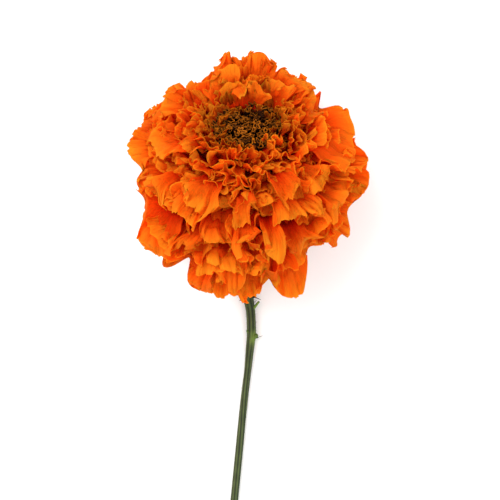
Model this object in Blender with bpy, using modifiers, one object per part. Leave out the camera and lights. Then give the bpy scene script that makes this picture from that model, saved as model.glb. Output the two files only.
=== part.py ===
"""A cut marigold: one full double flower head on its short stem, lying on a flat surface.

Metres, +Z up. The surface is at Z 0, and the origin is under the middle of the flower. The stem runs
along -Y. The head leans back towards +Y, on its lower petals, and the cut end of the stem is the
third point that it rests on.

The pieces:
  ray_florets   the orange petals, in a spiral round a small core that carries them
  disc_florets  the dark tube florets in the middle of the head
  calyx         the green ribbed cup with its teeth, which holds the head
  stem          the ribbed stem with its swollen neck, leaf stumps and bristles
"""

import math
from dataclasses import dataclass

import bmesh
import bpy
import numpy as np
from mathutils import Matrix, Vector

MM = 0.001

# The head. Its own frame has the origin at its middle and +Z along its axis, out through the disc.
HEAD_RADIUS = 46.5 * MM
HEAD_TOP = 39.0 * MM  # from its middle to the tips round the disc
HEAD_BOTTOM = 44.0 * MM
HEAD_LEAN = math.radians(41)  # its axis from the vertical, towards +Y
HEAD_HEIGHT = 39.0 * MM  # of its middle over the surface
RESTING_LAYER = 3.5 * MM  # petals that reach below this are pressed flat against the surface
# Where the head's outline, seen from above, swells or dips: direction from +X, share of the radius, spread.
LOBES = (
    (92, 0.07, 11),
    (114, -0.08, 6),
    (44, -0.14, 6),
    (-20, -0.09, 10),
    (-48, -0.2, 8),
    (-68, 0.1, 6),
    (-81, -0.1, 4),
    (-95, 0.09, 40),
    (-126, -0.1, 5),
    (-172, -0.13, 11),
)

# The spiral of ray florets.
FLORET_COUNT = 78
FLORET_SEED = 11
GOLDEN_ANGLE = math.pi * (3 - math.sqrt(5))
INNER_POLAR = math.radians(29)  # of the tips round the disc, from the axis
OUTER_POLAR = math.radians(142)  # of the tips round the calyx
BLADE_THICKNESS = 0.75 * MM
BLADE_ROWS = 3
BLADE_COLUMNS = 4
PETAL_CLEARANCE = 2.0 * MM  # of a petal's middle surface from the disc, the calyx and the stem
BESIDE = 4.0 * MM  # how far past the disc's and the calyx's ends it is kept

# The core that the florets stand on.
CORE_RADIUS = 29.0 * MM
CORE_TOP = 26.0 * MM
CORE_BOTTOM = 26.0 * MM
CORE_STEPS = 20
CLAW_DEPTH = 2.2 * MM  # how far a floret's claw is sunk in the core
NECK_RADIUS = 6.0 * MM
NECK_BOTTOM = 31.0 * MM
FIT_GAP = 0.35 * MM  # between two pieces that touch

# The disc of tube florets.
DISC_RADIUS = 13.5 * MM
DISC_SEAT = 20.0 * MM  # its underside, above the head's middle
TUBE_COUNT = 46
TUBE_RADIUS = 1.35 * MM
TUBE_SIDES = 6
DISC_SEED = 5

# The calyx.
CALYX_RIM = 26.5 * MM  # below the head's middle
CALYX_FOOT = 39.5 * MM
CALYX_RADIUS = 8.5 * MM
FOOT_RADIUS = 3.3 * MM
CALYX_RIBS = 8
CALYX_STEPS = 48
TOOTH_HEIGHT = 2.2 * MM

# The stem. It leaves the calyx square, then runs through these points, each given from under the
# head's middle with the stem's radius there, to the cut end.
STEM_TOP_RADIUS = 2.9
STEM_SQUARE_RUN = 2.6 * MM
STEM_ROUTE = (
    ((0.1, -32.0, 4.3), 2.75),
    ((0.4, -40.0, 2.8), 2.45),
    ((0.9, -47.5, 2.3), 2.1),
    ((1.8, -53.0, 1.95), 1.85),
    ((2.1, -61.5, 1.85), 1.85),
    ((1.5, -68.0, 1.75), 1.7),
    ((0.6, -77.0, 1.6), 1.45),
    ((-0.6, -87.0, 1.55), 1.5),
    ((-2.9, -110.0, 1.55), 1.55),
    ((-6.6, -148.0, 1.6), 1.55),
)
STEM_RIBS = 7
STEM_POINTS = 28
RIB_DEPTH = 0.12  # of the stem's radius


@dataclass
class Floret:
    """One ray floret: where its tip is, and how its limb is bent."""

    azimuth: float
    polar: float
    reach: float
    length: float
    width: float
    tip_angle: float
    curl: float
    roll: float
    cup: float
    ruffle: float
    waves: float
    phase: float
    flutter: float


# ---------------------------------------------------------------- the head's frame


def head_matrix():
    """The head's own frame, placed over the surface."""
    return Matrix.Translation((0, 0, HEAD_HEIGHT)) @ Matrix.Rotation(-HEAD_LEAN, 4, "X")


def to_world(points):
    """Points of the head's frame, in the world."""
    matrix = np.array(head_matrix())
    return points @ matrix[:3, :3].T + matrix[:3, 3]


# ---------------------------------------------------------------- where the florets go


def outwardness(polar):
    """0 for the florets round the disc, 1 for those from the head's broadest part to the calyx."""
    return np.clip((polar - INNER_POLAR) / (math.radians(90) - INNER_POLAR), 0, 1)


def limb_width(polar):
    """The breadth of a limb by where it stands: the outer ones are the widest."""
    return (14.5 + 16.5 * outwardness(polar)) * MM


def spread_of_polars(count):
    """The polar angle of each tip, outermost first, so that each floret has room for its width."""
    polar = np.linspace(OUTER_POLAR, INNER_POLAR, 400)
    room = np.cumsum(np.sin(polar) / limb_width(polar) ** 2)
    room = (room - room[0]) / (room[-1] - room[0])
    return np.interp((np.arange(count) + 0.5) / count, room, polar)


def lobing(azimuth, polar):
    """The swell of the head's outline where a tip at these angles shows in it from above."""
    tip = np.array([math.sin(polar) * math.cos(azimuth), math.sin(polar) * math.sin(azimuth), math.cos(polar)])
    across = np.array(head_matrix())[:2, :3] @ tip
    direction = math.degrees(math.atan2(across[1], across[0]))
    swell = 0
    for centre, share, spread in LOBES:
        away = (direction - centre + 180) % 360 - 180
        swell += share * math.exp(-((away / spread) ** 2))
    return 1 + swell * float(across @ across)


def reach_of(azimuth, polar):
    """How far the head reaches from its middle at these angles."""
    depth = HEAD_TOP if math.cos(polar) > 0 else HEAD_BOTTOM
    round_reach = 1 / math.hypot(math.sin(polar) / HEAD_RADIUS, math.cos(polar) / depth)
    return round_reach * lobing(azimuth, polar)


def spiral_of_florets():
    """All the ray florets, outermost first, each with its own draw of bends."""
    rng = np.random.default_rng(FLORET_SEED)
    florets = []
    for i, polar in enumerate(spread_of_polars(FLORET_COUNT)):
        azimuth = i * GOLDEN_ANGLE + rng.uniform(-0.12, 0.12)
        outer = outwardness(polar)
        droop = -math.sin(azimuth) * outer
        florets.append(
            Floret(
                azimuth=azimuth,
                polar=polar,
                reach=reach_of(azimuth, polar) * rng.uniform(0.95, 1.05),
                length=(13.0 + 9.0 * outer) * MM * rng.uniform(0.9, 1.15),
                width=limb_width(polar) * rng.uniform(0.85, 1.15),
                tip_angle=polar + math.radians(rng.uniform(20, 55) * (0.3 + 0.7 * outer) + 14 * droop),
                curl=math.radians(rng.uniform(45, 80) * (0.4 + 0.6 * outer)),
                roll=math.radians(rng.uniform(-25, 25)),
                cup=rng.uniform(-0.6, 0.6),
                ruffle=rng.uniform(0.85, 1.15),
                waves=rng.uniform(1.2, 1.7),
                phase=rng.uniform(0, 2 * math.pi),
                flutter=rng.uniform(0.1, 0.4),
            )
        )
    return florets


# ---------------------------------------------------------------- the shape of one floret


def running_sum(values, axis):
    """The integral of evenly spaced values over a run of 1, by the trapezium rule, from 0."""
    values = np.moveaxis(values, axis, 0)
    steps = (values[1:] + values[:-1]) / 2 / (len(values) - 1)
    total = np.concatenate([np.zeros_like(values[:1]), np.cumsum(steps, axis=0)])
    return np.moveaxis(total, 0, axis)


def limb_surface(floret, rows, columns):
    """The limb's middle surface in the head's frame, as rows x columns points from its root to its tip."""
    u = np.linspace(0, 1, rows)[:, None]
    v = np.linspace(-1, 1, columns)[None, :]
    # Along the limb: its direction turns from the root's to the tip's, and its edge flutters.
    bend = floret.tip_angle - floret.curl * (1 - u**1.6)
    flutter = floret.flutter * np.sin(math.pi * 1.4 * v + floret.phase) * u**3
    tangent = bend + flutter
    length = floret.length * (1 - 0.2 * v**2)
    outward = length * running_sum(np.sin(tangent) + 0 * v, 0)
    upward = length * running_sum(np.cos(tangent) + 0 * v, 0)
    middle = running_sum(np.concatenate([np.sin(bend), np.cos(bend)], axis=1), 0)[-1] * floret.length
    outward = outward + floret.reach * math.sin(floret.polar) - middle[0]
    upward = upward + floret.reach * math.cos(floret.polar) - middle[1]
    # Across the limb: its breadth keeps its length and is laid in folds that deepen towards the tip.
    spread = 0.2 + 0.8 * np.sin(math.pi / 2 * np.clip(u / 0.8, 0, 1)) ** 0.9
    slope = floret.cup * v * u + floret.ruffle * u**1.2 * np.sin(math.pi * floret.waves * v + floret.phase)
    # Over v the run is 2 half widths, so a run of 1 is the whole width.
    side = running_sum(np.cos(slope), 1) * spread * floret.width
    lift = running_sum(np.sin(slope), 1) * spread * floret.width
    side -= side.mean(axis=1, keepdims=True)
    lift -= lift.mean(axis=1, keepdims=True)
    turn = floret.roll * u
    side, lift = side * np.cos(turn) - lift * np.sin(turn), side * np.sin(turn) + lift * np.cos(turn)
    outward = outward - lift * np.cos(tangent)
    upward = upward + lift * np.sin(tangent)
    c, s = math.cos(floret.azimuth), math.sin(floret.azimuth)
    return np.stack([outward * c - side * s, outward * s + side * c, upward], axis=-1)


def claw_foot(root):
    """The narrow claw's end: the root row, carried in towards the head's middle until it is in the core."""
    middle = root.mean(axis=0)
    way = middle / np.linalg.norm(middle)
    depth = CORE_TOP if way[2] > 0 else CORE_BOTTOM
    skin = 1 / math.hypot(math.hypot(way[0], way[1]) / CORE_RADIUS, way[2] / depth)
    return way * (skin - CLAW_DEPTH) + (root - middle) * 0.8


def clear_of_ends(points):
    """Points of the head's frame moved out sideways from the disc and from the calyx."""
    across = np.hypot(points[..., 0], points[..., 1])
    least = np.where(points[..., 2] > DISC_SEAT - BESIDE, DISC_RADIUS + PETAL_CLEARANCE, 0)
    least = np.where(points[..., 2] < -CALYX_RIM + BESIDE, CALYX_RADIUS + PETAL_CLEARANCE, least)
    growth = np.maximum(least / np.maximum(across, MM), 1)
    return points * np.stack([growth, growth, np.ones_like(growth)], axis=-1)


def clear_of_stem(points):
    """World points moved out sideways from the stem, where they are too near it."""
    for centre, radius in stem_points(16):
        offset = points - centre
        distance = np.linalg.norm(offset, axis=-1, keepdims=True)
        clear = radius + PETAL_CLEARANCE
        points = centre + offset * np.maximum(clear / np.maximum(distance, MM), 1)
    return points


def pressed_flat(points):
    """World points whose lowest part is pressed against the surface that the flower lies on."""
    lowest = BLADE_THICKNESS / 2
    room = RESTING_LAYER - lowest
    height = points[..., 2:]
    pressed = lowest + room * np.exp(np.minimum(height - RESTING_LAYER, 0) / room)
    return np.concatenate([points[..., :2], np.where(height < RESTING_LAYER, pressed, height)], axis=-1)


def floret_points(floret):
    """The blade's middle surface in the world, with its claw's foot as the first row."""
    limb = limb_surface(floret, BLADE_ROWS * 4 + 1, BLADE_COLUMNS * 4 + 1)[::4, ::4]
    blade = np.concatenate([claw_foot(limb[0])[None], limb])
    return pressed_flat(clear_of_stem(to_world(clear_of_ends(blade))))


# ---------------------------------------------------------------- Blender tools


def clear_scene():
    """An empty scene to model in."""
    for obj in list(bpy.data.objects):
        bpy.data.objects.remove(obj, do_unlink=True)


def finish(name, colour, roughness):
    """A plain material of one colour."""
    material = bpy.data.materials.new(name)
    material.use_nodes = True
    shader = material.node_tree.nodes["Principled BSDF"]
    shader.inputs["Base Color"].default_value = (*colour, 1)
    shader.inputs["Roughness"].default_value = roughness
    shader.inputs["Metallic"].default_value = 0
    return material


def coat(obj, material):
    """The object wholly in one material."""
    obj.data.materials.clear()
    obj.data.materials.append(material)
    return obj


def new_object(name, mesh, collection):
    """An object with this mesh, in a collection."""
    obj = bpy.data.objects.new(name, mesh)
    collection.objects.link(obj)
    return obj


def applied(obj):
    """The object with its modifiers applied, or its curve made a welded mesh, under the same name."""
    bpy.context.view_layer.update()
    graph = bpy.context.evaluated_depsgraph_get()
    loose_caps = obj.type == "CURVE"
    mesh = bpy.data.meshes.new_from_object(obj.evaluated_get(graph))
    solid = bpy.data.objects.new(obj.name, mesh)
    for collection in obj.users_collection:
        collection.objects.link(solid)
    solid.matrix_world = obj.matrix_world
    name = obj.name
    bpy.data.objects.remove(obj, do_unlink=True)
    solid.name = name
    if loose_caps:
        model = bmesh.new()
        model.from_mesh(mesh)
        bmesh.ops.remove_doubles(model, verts=model.verts, dist=0.00001)
        bmesh.ops.recalc_face_normals(model, faces=model.faces)
        model.to_mesh(mesh)
        model.free()
    return solid


def turned(name, profile, steps, collection):
    """A profile of (radius, height) pairs, outer side first from the top, turned about the Z axis."""
    mesh = bpy.data.meshes.new(name)
    edges = [(i, i + 1) for i in range(len(profile) - 1)]
    mesh.from_pydata([(r, 0, z) for r, z in profile], edges, [])
    obj = new_object(name, mesh, collection)
    screw = obj.modifiers.new("Turn", "SCREW")
    screw.steps = steps
    screw.render_steps = steps
    screw.use_merge_vertices = True
    screw.merge_threshold = 0.00001
    return applied(obj)


def join_all(obj, pieces):
    """The object with every piece of a collection fused to it, and the pieces removed."""
    union = obj.modifiers.new("Fuse", "BOOLEAN")
    union.operation = "UNION"
    union.operand_type = "COLLECTION"
    union.collection = pieces
    union.solver = "MANIFOLD"
    joined = applied(obj)
    for piece in list(pieces.objects):
        bpy.data.objects.remove(piece, do_unlink=True)
    bpy.data.collections.remove(pieces)
    keep_outer_body(joined)
    return joined


def islands(model):
    """The faces of a mesh in connected groups."""
    left = set(model.faces)
    while left:
        group, todo = set(), [left.pop()]
        while todo:
            face = todo.pop()
            group.add(face)
            near = {n for edge in face.edges for n in edge.link_faces} & left
            left -= near
            todo.extend(near)
        yield group


def keep_outer_body(obj):
    """Fills the hollows that fusing sealed and drops loose scraps, so that one closed skin is left."""
    model = bmesh.new()
    model.from_mesh(obj.data)
    bmesh.ops.triangulate(model, faces=model.faces)
    groups = list(islands(model))

    def volume(group):
        corners = [[v.co for v in face.verts] for face in group]
        return sum(a.dot(b.cross(c)) for a, b, c in corners) / 6

    kept = max(groups, key=volume)
    dropped = [face for group in groups if group is not kept for face in group]
    bmesh.ops.delete(model, geom=dropped, context="FACES")
    model.to_mesh(obj.data)
    model.free()


# ---------------------------------------------------------------- the pieces


def core_profile():
    """The core's outline: the disc's seat, the rounded body and the neck that goes into the calyx."""
    seat = DISC_RADIUS + FIT_GAP
    first = math.asin(seat / CORE_RADIUS)
    upper = np.linspace(first, math.pi / 2, 5)
    last = math.pi - math.asin(NECK_RADIUS / CORE_RADIUS)
    lower = np.linspace(math.pi / 2, last, 5)[1:]
    profile = [(0, DISC_SEAT), (seat, DISC_SEAT)]
    profile += [(CORE_RADIUS * math.sin(a), CORE_TOP * math.cos(a)) for a in upper]
    profile += [(CORE_RADIUS * math.sin(a), CORE_BOTTOM * math.cos(a)) for a in lower]
    return profile + [(NECK_RADIUS, -NECK_BOTTOM), (0, -NECK_BOTTOM)]


def blade(floret, name, collection):
    """One floret as a closed blade, its two faces split into the same triangles."""
    points = floret_points(floret)
    rows, columns, _ = points.shape
    mesh = bpy.data.meshes.new(name)
    model = bmesh.new()
    bmesh.ops.create_grid(model, x_segments=columns - 1, y_segments=rows - 1, size=1)
    model.verts.ensure_lookup_table()
    in_rows = sorted(model.verts, key=lambda vert: (round(vert.co.y, 4), vert.co.x))
    for vert, point in zip(in_rows, points.reshape(-1, 3)):
        vert.co = point
    bmesh.ops.triangulate(model, faces=model.faces)
    model.to_mesh(mesh)
    model.free()
    obj = new_object(name, mesh, collection)
    solidify = obj.modifiers.new("Thickness", "SOLIDIFY")
    solidify.thickness = BLADE_THICKNESS
    solidify.offset = 0
    return applied(obj)


def ray_florets(parts):
    """The orange head: its core, and every petal standing out of it."""
    core = turned("ray_florets", core_profile(), CORE_STEPS, parts)
    core.data.transform(head_matrix())
    blades = bpy.data.collections.new("blades")
    bpy.context.scene.collection.children.link(blades)
    for i, floret in enumerate(spiral_of_florets()):
        blade(floret, f"blade_{i:03d}", blades)
    head = join_all(core, blades)
    return coat(head, finish("petal_orange", (0.86, 0.12, 0.004), 0.6))


def tube_floret(name, place, height, collection):
    """One tube floret: a hexagonal flared tube with its mouth sunk in."""
    bpy.ops.mesh.primitive_cone_add(
        vertices=TUBE_SIDES, radius1=TUBE_RADIUS * 0.62, radius2=TUBE_RADIUS, depth=height, end_fill_type="NGON"
    )
    obj = bpy.context.active_object
    obj.name = name
    for owner in obj.users_collection:
        owner.objects.unlink(obj)
    collection.objects.link(obj)
    model = bmesh.new()
    model.from_mesh(obj.data)
    mouth = max(model.faces, key=lambda face: face.calc_center_median().z)
    bmesh.ops.inset_individual(model, faces=[mouth], thickness=TUBE_RADIUS * 0.32, depth=0)
    bmesh.ops.translate(model, verts=mouth.verts, vec=(0, 0, -TUBE_RADIUS * 0.9))
    model.transform(Matrix.Translation(place) @ Matrix.Rotation(place[0] * 900, 4, "Z"))
    model.to_mesh(obj.data)
    model.free()
    return obj


def disc_florets(parts):
    """The dark middle: a shallow dish of tube florets in a spiral."""
    rng = np.random.default_rng(DISC_SEED)
    under = DISC_SEAT + FIT_GAP
    dish = [(r * DISC_RADIUS, under + (1.6 + 1.6 * r**2) * MM) for r in (0, 0.5, 1)]
    profile = dish + [(DISC_RADIUS, under), (0, under)]
    disc = turned("disc_florets", profile, CORE_STEPS, parts)
    tubes = bpy.data.collections.new("tubes")
    bpy.context.scene.collection.children.link(tubes)
    for i in range(TUBE_COUNT):
        radius = (DISC_RADIUS - TUBE_RADIUS * 1.15) * math.sqrt((i + 0.5) / TUBE_COUNT)
        angle = i * GOLDEN_ANGLE
        height = (4.2 + 2.2 * (radius / DISC_RADIUS) ** 2 + rng.uniform(0, 0.9)) * MM
        place = Vector((radius * math.cos(angle), radius * math.sin(angle), under + 0.9 * MM + height / 2))
        tube_floret(f"tube_{i:03d}", place, height, tubes)
    disc = join_all(disc, tubes)
    disc.data.transform(head_matrix())
    return coat(disc, finish("disc_brown", (0.05, 0.018, 0.004), 0.7))


def calyx_profile():
    """The cup's closed outline, from the inside of its rim over the edge and down the outside."""
    height = CALYX_FOOT - CALYX_RIM
    inside = NECK_RADIUS + FIT_GAP
    floor = -NECK_BOTTOM - FIT_GAP
    outside = [
        (
            FOOT_RADIUS + (CALYX_RADIUS - FOOT_RADIUS) * math.sin(math.pi / 2 * share) ** 0.8,
            -CALYX_FOOT + height * share,
        )
        for share in (1, 0.8, 0.6, 0.4, 0.2, 0.08, 0)
    ]
    return [(0, floor), (inside, floor), (inside, -CALYX_RIM)] + outside + [(0, -CALYX_FOOT)]


def calyx(parts):
    """The green cup, ribbed outside, with a tooth over each rib."""
    cup = turned("calyx", calyx_profile(), CALYX_STEPS, parts)
    for vert in cup.data.vertices:
        radius = math.hypot(vert.co.x, vert.co.y)
        rib = math.cos(CALYX_RIBS * math.atan2(vert.co.y, vert.co.x))
        if radius > NECK_RADIUS + 2 * FIT_GAP or vert.co.z < -NECK_BOTTOM - 2 * FIT_GAP:
            growth = 1 + 0.035 * rib
            vert.co.x *= growth
            vert.co.y *= growth
        if vert.co.z > -CALYX_RIM - 0.1 * MM:
            vert.co.z += TOOTH_HEIGHT * (rib - 1) / 2 + 0.4 * MM
    cup.data.transform(head_matrix())
    return coat(cup, finish("calyx_green", (0.1, 0.16, 0.04), 0.6))


def stem_points(count):
    """(centre, radius) pairs in the world along the stem's smooth route, from the calyx to the cut."""
    top = -CALYX_FOOT - FIT_GAP
    square = to_world(np.array([(0, 0, top), (0, 0, top - STEM_SQUARE_RUN)]))
    places = np.concatenate([square, np.array([place for place, _ in STEM_ROUTE]) * MM])
    radii = np.array([STEM_TOP_RADIUS, STEM_TOP_RADIUS] + [radius for _, radius in STEM_ROUTE]) * MM
    spans = len(places) - 1
    padded = np.concatenate([2 * places[:1] - places[1:2], places, 2 * places[-1:] - places[-2:-1]])
    found = []
    for t in np.linspace(0, spans, count):
        i = min(int(t), spans - 1)
        p, f = padded[i : i + 4], t - i
        centre = 0.5 * (
            2 * p[1]
            + (p[2] - p[0]) * f
            + (2 * p[0] - 5 * p[1] + 4 * p[2] - p[3]) * f**2
            + (3 * p[1] - p[0] - 3 * p[2] + p[3]) * f**3
        )
        found.append((centre, np.interp(t, np.arange(spans + 1), radii)))
    return found


def ribbed_section(collection):
    """The stem's cross-section at a radius of 1: round, with shallow ribs."""
    curve = bpy.data.curves.new("stem_section", "CURVE")
    corners = 2 * STEM_RIBS
    line = curve.splines.new("POLY")
    line.points.add(corners - 1)
    for i, point in enumerate(line.points):
        angle = 2 * math.pi * i / corners
        radius = 1 - RIB_DEPTH * (i % 2)
        point.co = (radius * math.cos(angle), radius * math.sin(angle), 0, 1)
    line.use_cyclic_u = True
    section = bpy.data.objects.new("stem_section", curve)
    section.hide_render = True
    section.display_type = "WIRE"
    collection.objects.link(section)
    return section


def tube_along(name, route, collection, section=None):
    """A closed tube along (centre, radius) pairs, round or of another section."""
    curve = bpy.data.curves.new(name, "CURVE")
    curve.dimensions = "3D"
    curve.use_fill_caps = True
    line = curve.splines.new("POLY")
    line.points.add(len(route) - 1)
    for point, (centre, radius) in zip(line.points, route):
        point.co = (*centre, 1)
        point.radius = radius
    if section:
        curve.bevel_mode = "OBJECT"
        curve.bevel_object = section
    else:
        curve.bevel_depth = 1
        curve.bevel_resolution = 1
    obj = bpy.data.objects.new(name, curve)
    collection.objects.link(obj)
    return applied(obj)


def stump(name, distance, direction, length, radii, collection):
    """A leaf stump or bract: from inside the stem at a distance from the head, to its narrower end."""
    centre, _ = min(stem_points(301), key=lambda found: abs(found[0][1] + distance))
    way = np.array(Vector(direction).normalized())
    base, tip = radii
    route = [(centre, base), (centre + way * length * 0.6, (base + tip) / 2), (centre + way * length, tip)]
    return tube_along(name, route, collection)


def stem(parts):
    """The ribbed stem, with the stumps of its leaves and the bristles under the head."""
    helpers = bpy.data.collections.new("helpers")
    bpy.context.scene.collection.children.link(helpers)
    section = ribbed_section(helpers)
    stalk = tube_along("stem", stem_points(STEM_POINTS), parts, section)
    stumps = bpy.data.collections.new("stumps")
    bpy.context.scene.collection.children.link(stumps)
    stump("left_bract", 49.3 * MM, (-1.0, 0.25, 0.3), 3.9 * MM, (0.9 * MM, 0.2 * MM), stumps)
    stump("right_bract", 47.6 * MM, (1.0, 0.3, 0.5), 7.0 * MM, (0.9 * MM, 0.2 * MM), stumps)
    stump("upper_stump", 53.0 * MM, (0.55, 0.8, 0.45), 5.6 * MM, (0.8 * MM, 0.5 * MM), stumps)
    stump("left_stump", 63.0 * MM, (-0.6, 1.0, 0.35), 3.6 * MM, (1.0 * MM, 0.6 * MM), stumps)
    stump("right_stump", 64.5 * MM, (0.8, 0.75, 0.35), 3.8 * MM, (1.2 * MM, 0.7 * MM), stumps)
    stalk = join_all(stalk, stumps)
    return coat(stalk, finish("stem_green", (0.07, 0.1, 0.03), 0.55))


def stand_on_origin(pieces):
    """Moves the whole flower so that the middle of its footprint is at the origin, on the surface."""
    corners = np.array([v.co for piece in pieces for v in piece.data.vertices])
    low, high = corners.min(axis=0), corners.max(axis=0)
    shift = Matrix.Translation((-(low[0] + high[0]) / 2, -(low[1] + high[1]) / 2, -low[2]))
    for piece in pieces:
        piece.data.transform(shift)


def main():
    """Models the flower."""
    clear_scene()
    parts = bpy.data.collections.new("marigold_flower")
    bpy.context.scene.collection.children.link(parts)
    pieces = [ray_florets(parts), disc_florets(parts), calyx(parts), stem(parts)]
    stand_on_origin(pieces)


main()
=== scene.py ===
"""The look of a cut marigold that lies on a pale table: every petal, floret, tooth, rib and hair.

The solids of the CAD model give its place and size. Each is replaced here by finer pieces:
  petals_*      the ray florets, in four rings from the calyx to the disc and a set of broad fans that stand
                out of them, with the receptacle that they grow on
  disc          the tube florets in the middle, with their curled lips
  calyx_cup     the green ribbed cup with its teeth
  stem_*        the ribbed stem with its leaf stumps and bracts, and its hairs
"""

import logging
import math
from dataclasses import dataclass
from enum import Enum
from typing import Iterator

import bpy
import numpy as np
from mathutils import Matrix, Vector


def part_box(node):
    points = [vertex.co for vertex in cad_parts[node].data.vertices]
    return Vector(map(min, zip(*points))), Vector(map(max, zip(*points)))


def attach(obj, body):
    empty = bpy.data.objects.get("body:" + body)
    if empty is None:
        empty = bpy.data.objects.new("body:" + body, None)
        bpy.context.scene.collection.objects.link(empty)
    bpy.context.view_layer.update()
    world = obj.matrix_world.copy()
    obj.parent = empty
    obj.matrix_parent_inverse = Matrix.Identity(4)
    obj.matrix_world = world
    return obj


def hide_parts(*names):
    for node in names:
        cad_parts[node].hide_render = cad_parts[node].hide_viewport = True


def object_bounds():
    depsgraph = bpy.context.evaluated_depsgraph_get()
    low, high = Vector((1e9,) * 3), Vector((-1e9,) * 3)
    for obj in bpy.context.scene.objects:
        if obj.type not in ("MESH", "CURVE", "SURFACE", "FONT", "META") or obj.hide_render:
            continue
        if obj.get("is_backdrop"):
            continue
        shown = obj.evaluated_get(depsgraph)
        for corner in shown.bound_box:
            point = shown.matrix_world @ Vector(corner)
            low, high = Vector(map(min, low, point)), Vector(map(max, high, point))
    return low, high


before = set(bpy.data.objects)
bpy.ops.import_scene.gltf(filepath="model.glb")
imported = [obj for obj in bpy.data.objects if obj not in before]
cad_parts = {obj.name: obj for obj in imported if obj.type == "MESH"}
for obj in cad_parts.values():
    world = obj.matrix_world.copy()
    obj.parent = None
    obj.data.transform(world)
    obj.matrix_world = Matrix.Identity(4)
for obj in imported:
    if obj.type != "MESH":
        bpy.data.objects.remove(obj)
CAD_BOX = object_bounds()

LOG = logging.getLogger("marigold")
MM = 0.001
GOLDEN_ANGLE = math.pi * (3 - math.sqrt(5))
TINY = 1e-9  # keeps a length that something is divided by off zero

# Sockets that go by number: the Mix node's for colours, and the Map Range node's.
SHARE, UNDER, OVER, MIXED = 0, 6, 7, 2
VALUE, LOW, HIGH, TO_LOW, TO_HIGH = range(5)


# ---------------------------------------------------------------- small tools


def srgb(code: str) -> tuple[float, float, float, float]:
    """Turns an sRGB hex colour to the linear one that shaders use.

    Args:
        code: the colour as #RRGGBB.

    Returns:
        Linear red, green and blue, and an alpha of 1.
    """
    parts = [int(code[i : i + 2], 16) / 255 for i in (1, 3, 5)]
    # The standard's own curve: straight near black, and a power above.
    linear = [p / 12.92 if p <= 0.04045 else ((p + 0.055) / 1.055) ** 2.4 for p in parts]
    return (*linear, 1.0)


def add_node(
    tree: bpy.types.NodeTree, kind: str, inputs: dict | None = None, **settings: object
) -> bpy.types.Node:
    """Adds a shader node with its settings, values and links.

    Args:
        tree: the node tree to add it to.
        kind: the node's type without the ShaderNode in front.
        inputs: for each input socket, by name or number, a value or the output socket to link.
        settings: the node's own properties.

    Returns:
        The new node.
    """
    node = tree.nodes.new("ShaderNode" + kind)
    for name, value in settings.items():
        setattr(node, name, value)
    for socket, value in (inputs or {}).items():
        if isinstance(value, bpy.types.NodeSocket):
            tree.links.new(value, node.inputs[socket])
        else:
            node.inputs[socket].default_value = value
    return node


def new_material(name: str) -> bpy.types.Material:
    """Makes an empty node material.

    Args:
        name: what it is called.

    Returns:
        The material.
    """
    material = bpy.data.materials.new(name)
    material.use_nodes = True
    material.node_tree.nodes.clear()
    return material


def only(obj: bpy.types.Object) -> bpy.types.Object:
    """Makes one object the only selected one and the active one.

    Args:
        obj: the object.

    Returns:
        The same object.
    """
    bpy.ops.object.select_all(action="DESELECT")
    obj.select_set(True)
    bpy.context.view_layer.objects.active = obj
    return obj


def added(name: str) -> bpy.types.Object:
    """Names what an operator has just added or joined.

    Args:
        name: the name for it and for its mesh.

    Returns:
        The object.
    """
    obj = bpy.context.active_object
    obj.name = name
    obj.data.name = name
    return obj


def coordinates(obj: bpy.types.Object) -> np.ndarray:
    """Reads the places of an object's vertices.

    Args:
        obj: the object.

    Returns:
        The places, one row each.
    """
    places = np.empty(len(obj.data.vertices) * 3)
    obj.data.vertices.foreach_get("co", places)
    return places.reshape(-1, 3)


def set_coordinates(obj: bpy.types.Object, places: np.ndarray) -> None:
    """Moves an object's vertices to new places, one row each."""
    obj.data.vertices.foreach_set("co", np.ascontiguousarray(places, np.float32).ravel())
    obj.data.update()


def set_attribute(obj: bpy.types.Object, name: str, values: np.ndarray | float) -> None:
    """Gives every vertex of an object something that its material can read.

    Args:
        obj: the object.
        name: the attribute's name.
        values: a number for all the vertices, a number for each, or a row of three for each.
    """
    if np.ndim(values) == 0:
        values = np.full(len(obj.data.vertices), values)
    kind, field_name = ("FLOAT", "value") if values.ndim == 1 else ("FLOAT_VECTOR", "vector")
    layer = obj.data.attributes.get(name) or obj.data.attributes.new(name, kind, "POINT")
    layer.data.foreach_set(field_name, np.ascontiguousarray(values, np.float32).ravel())


def copy_of(obj: bpy.types.Object, name: str) -> bpy.types.Object:
    """Copies an object into the scene, with a mesh of its own.

    Args:
        obj: the object.
        name: the copy's name.

    Returns:
        The copy.
    """
    twin = bpy.data.objects.new(name, obj.data.copy())
    bpy.context.scene.collection.objects.link(twin)
    return twin


def placed(places: np.ndarray, matrix: Matrix) -> np.ndarray:
    """Takes places, along the last axis, from a frame of their own to the world by its matrix."""
    world = np.array(matrix)
    return places @ world[:3, :3].T + world[:3, 3]


def applied(obj: bpy.types.Object, kind: str, **settings: object) -> bpy.types.Object:
    """Puts a modifier on an object and applies it.

    Args:
        obj: the object.
        kind: the modifier's type.
        settings: the modifier's own properties.

    Returns:
        The same object.
    """
    modifier = only(obj).modifiers.new(kind.lower(), kind)
    for name, value in settings.items():
        setattr(modifier, name, value)
    bpy.ops.object.modifier_apply(modifier=modifier.name)
    return obj


def joined(pieces: list[bpy.types.Object], name: str) -> bpy.types.Object:
    """Joins pieces into one object.

    Args:
        pieces: the objects, which are used up.
        name: what the whole is called.

    Returns:
        The one object, shaded smooth, at the origin.
    """
    bpy.ops.object.select_all(action="DESELECT")
    for piece in pieces:
        piece.select_set(True)
    bpy.context.view_layer.objects.active = pieces[0]
    bpy.ops.object.join()
    whole = added(name)
    bpy.ops.object.shade_smooth()
    return whole


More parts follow.
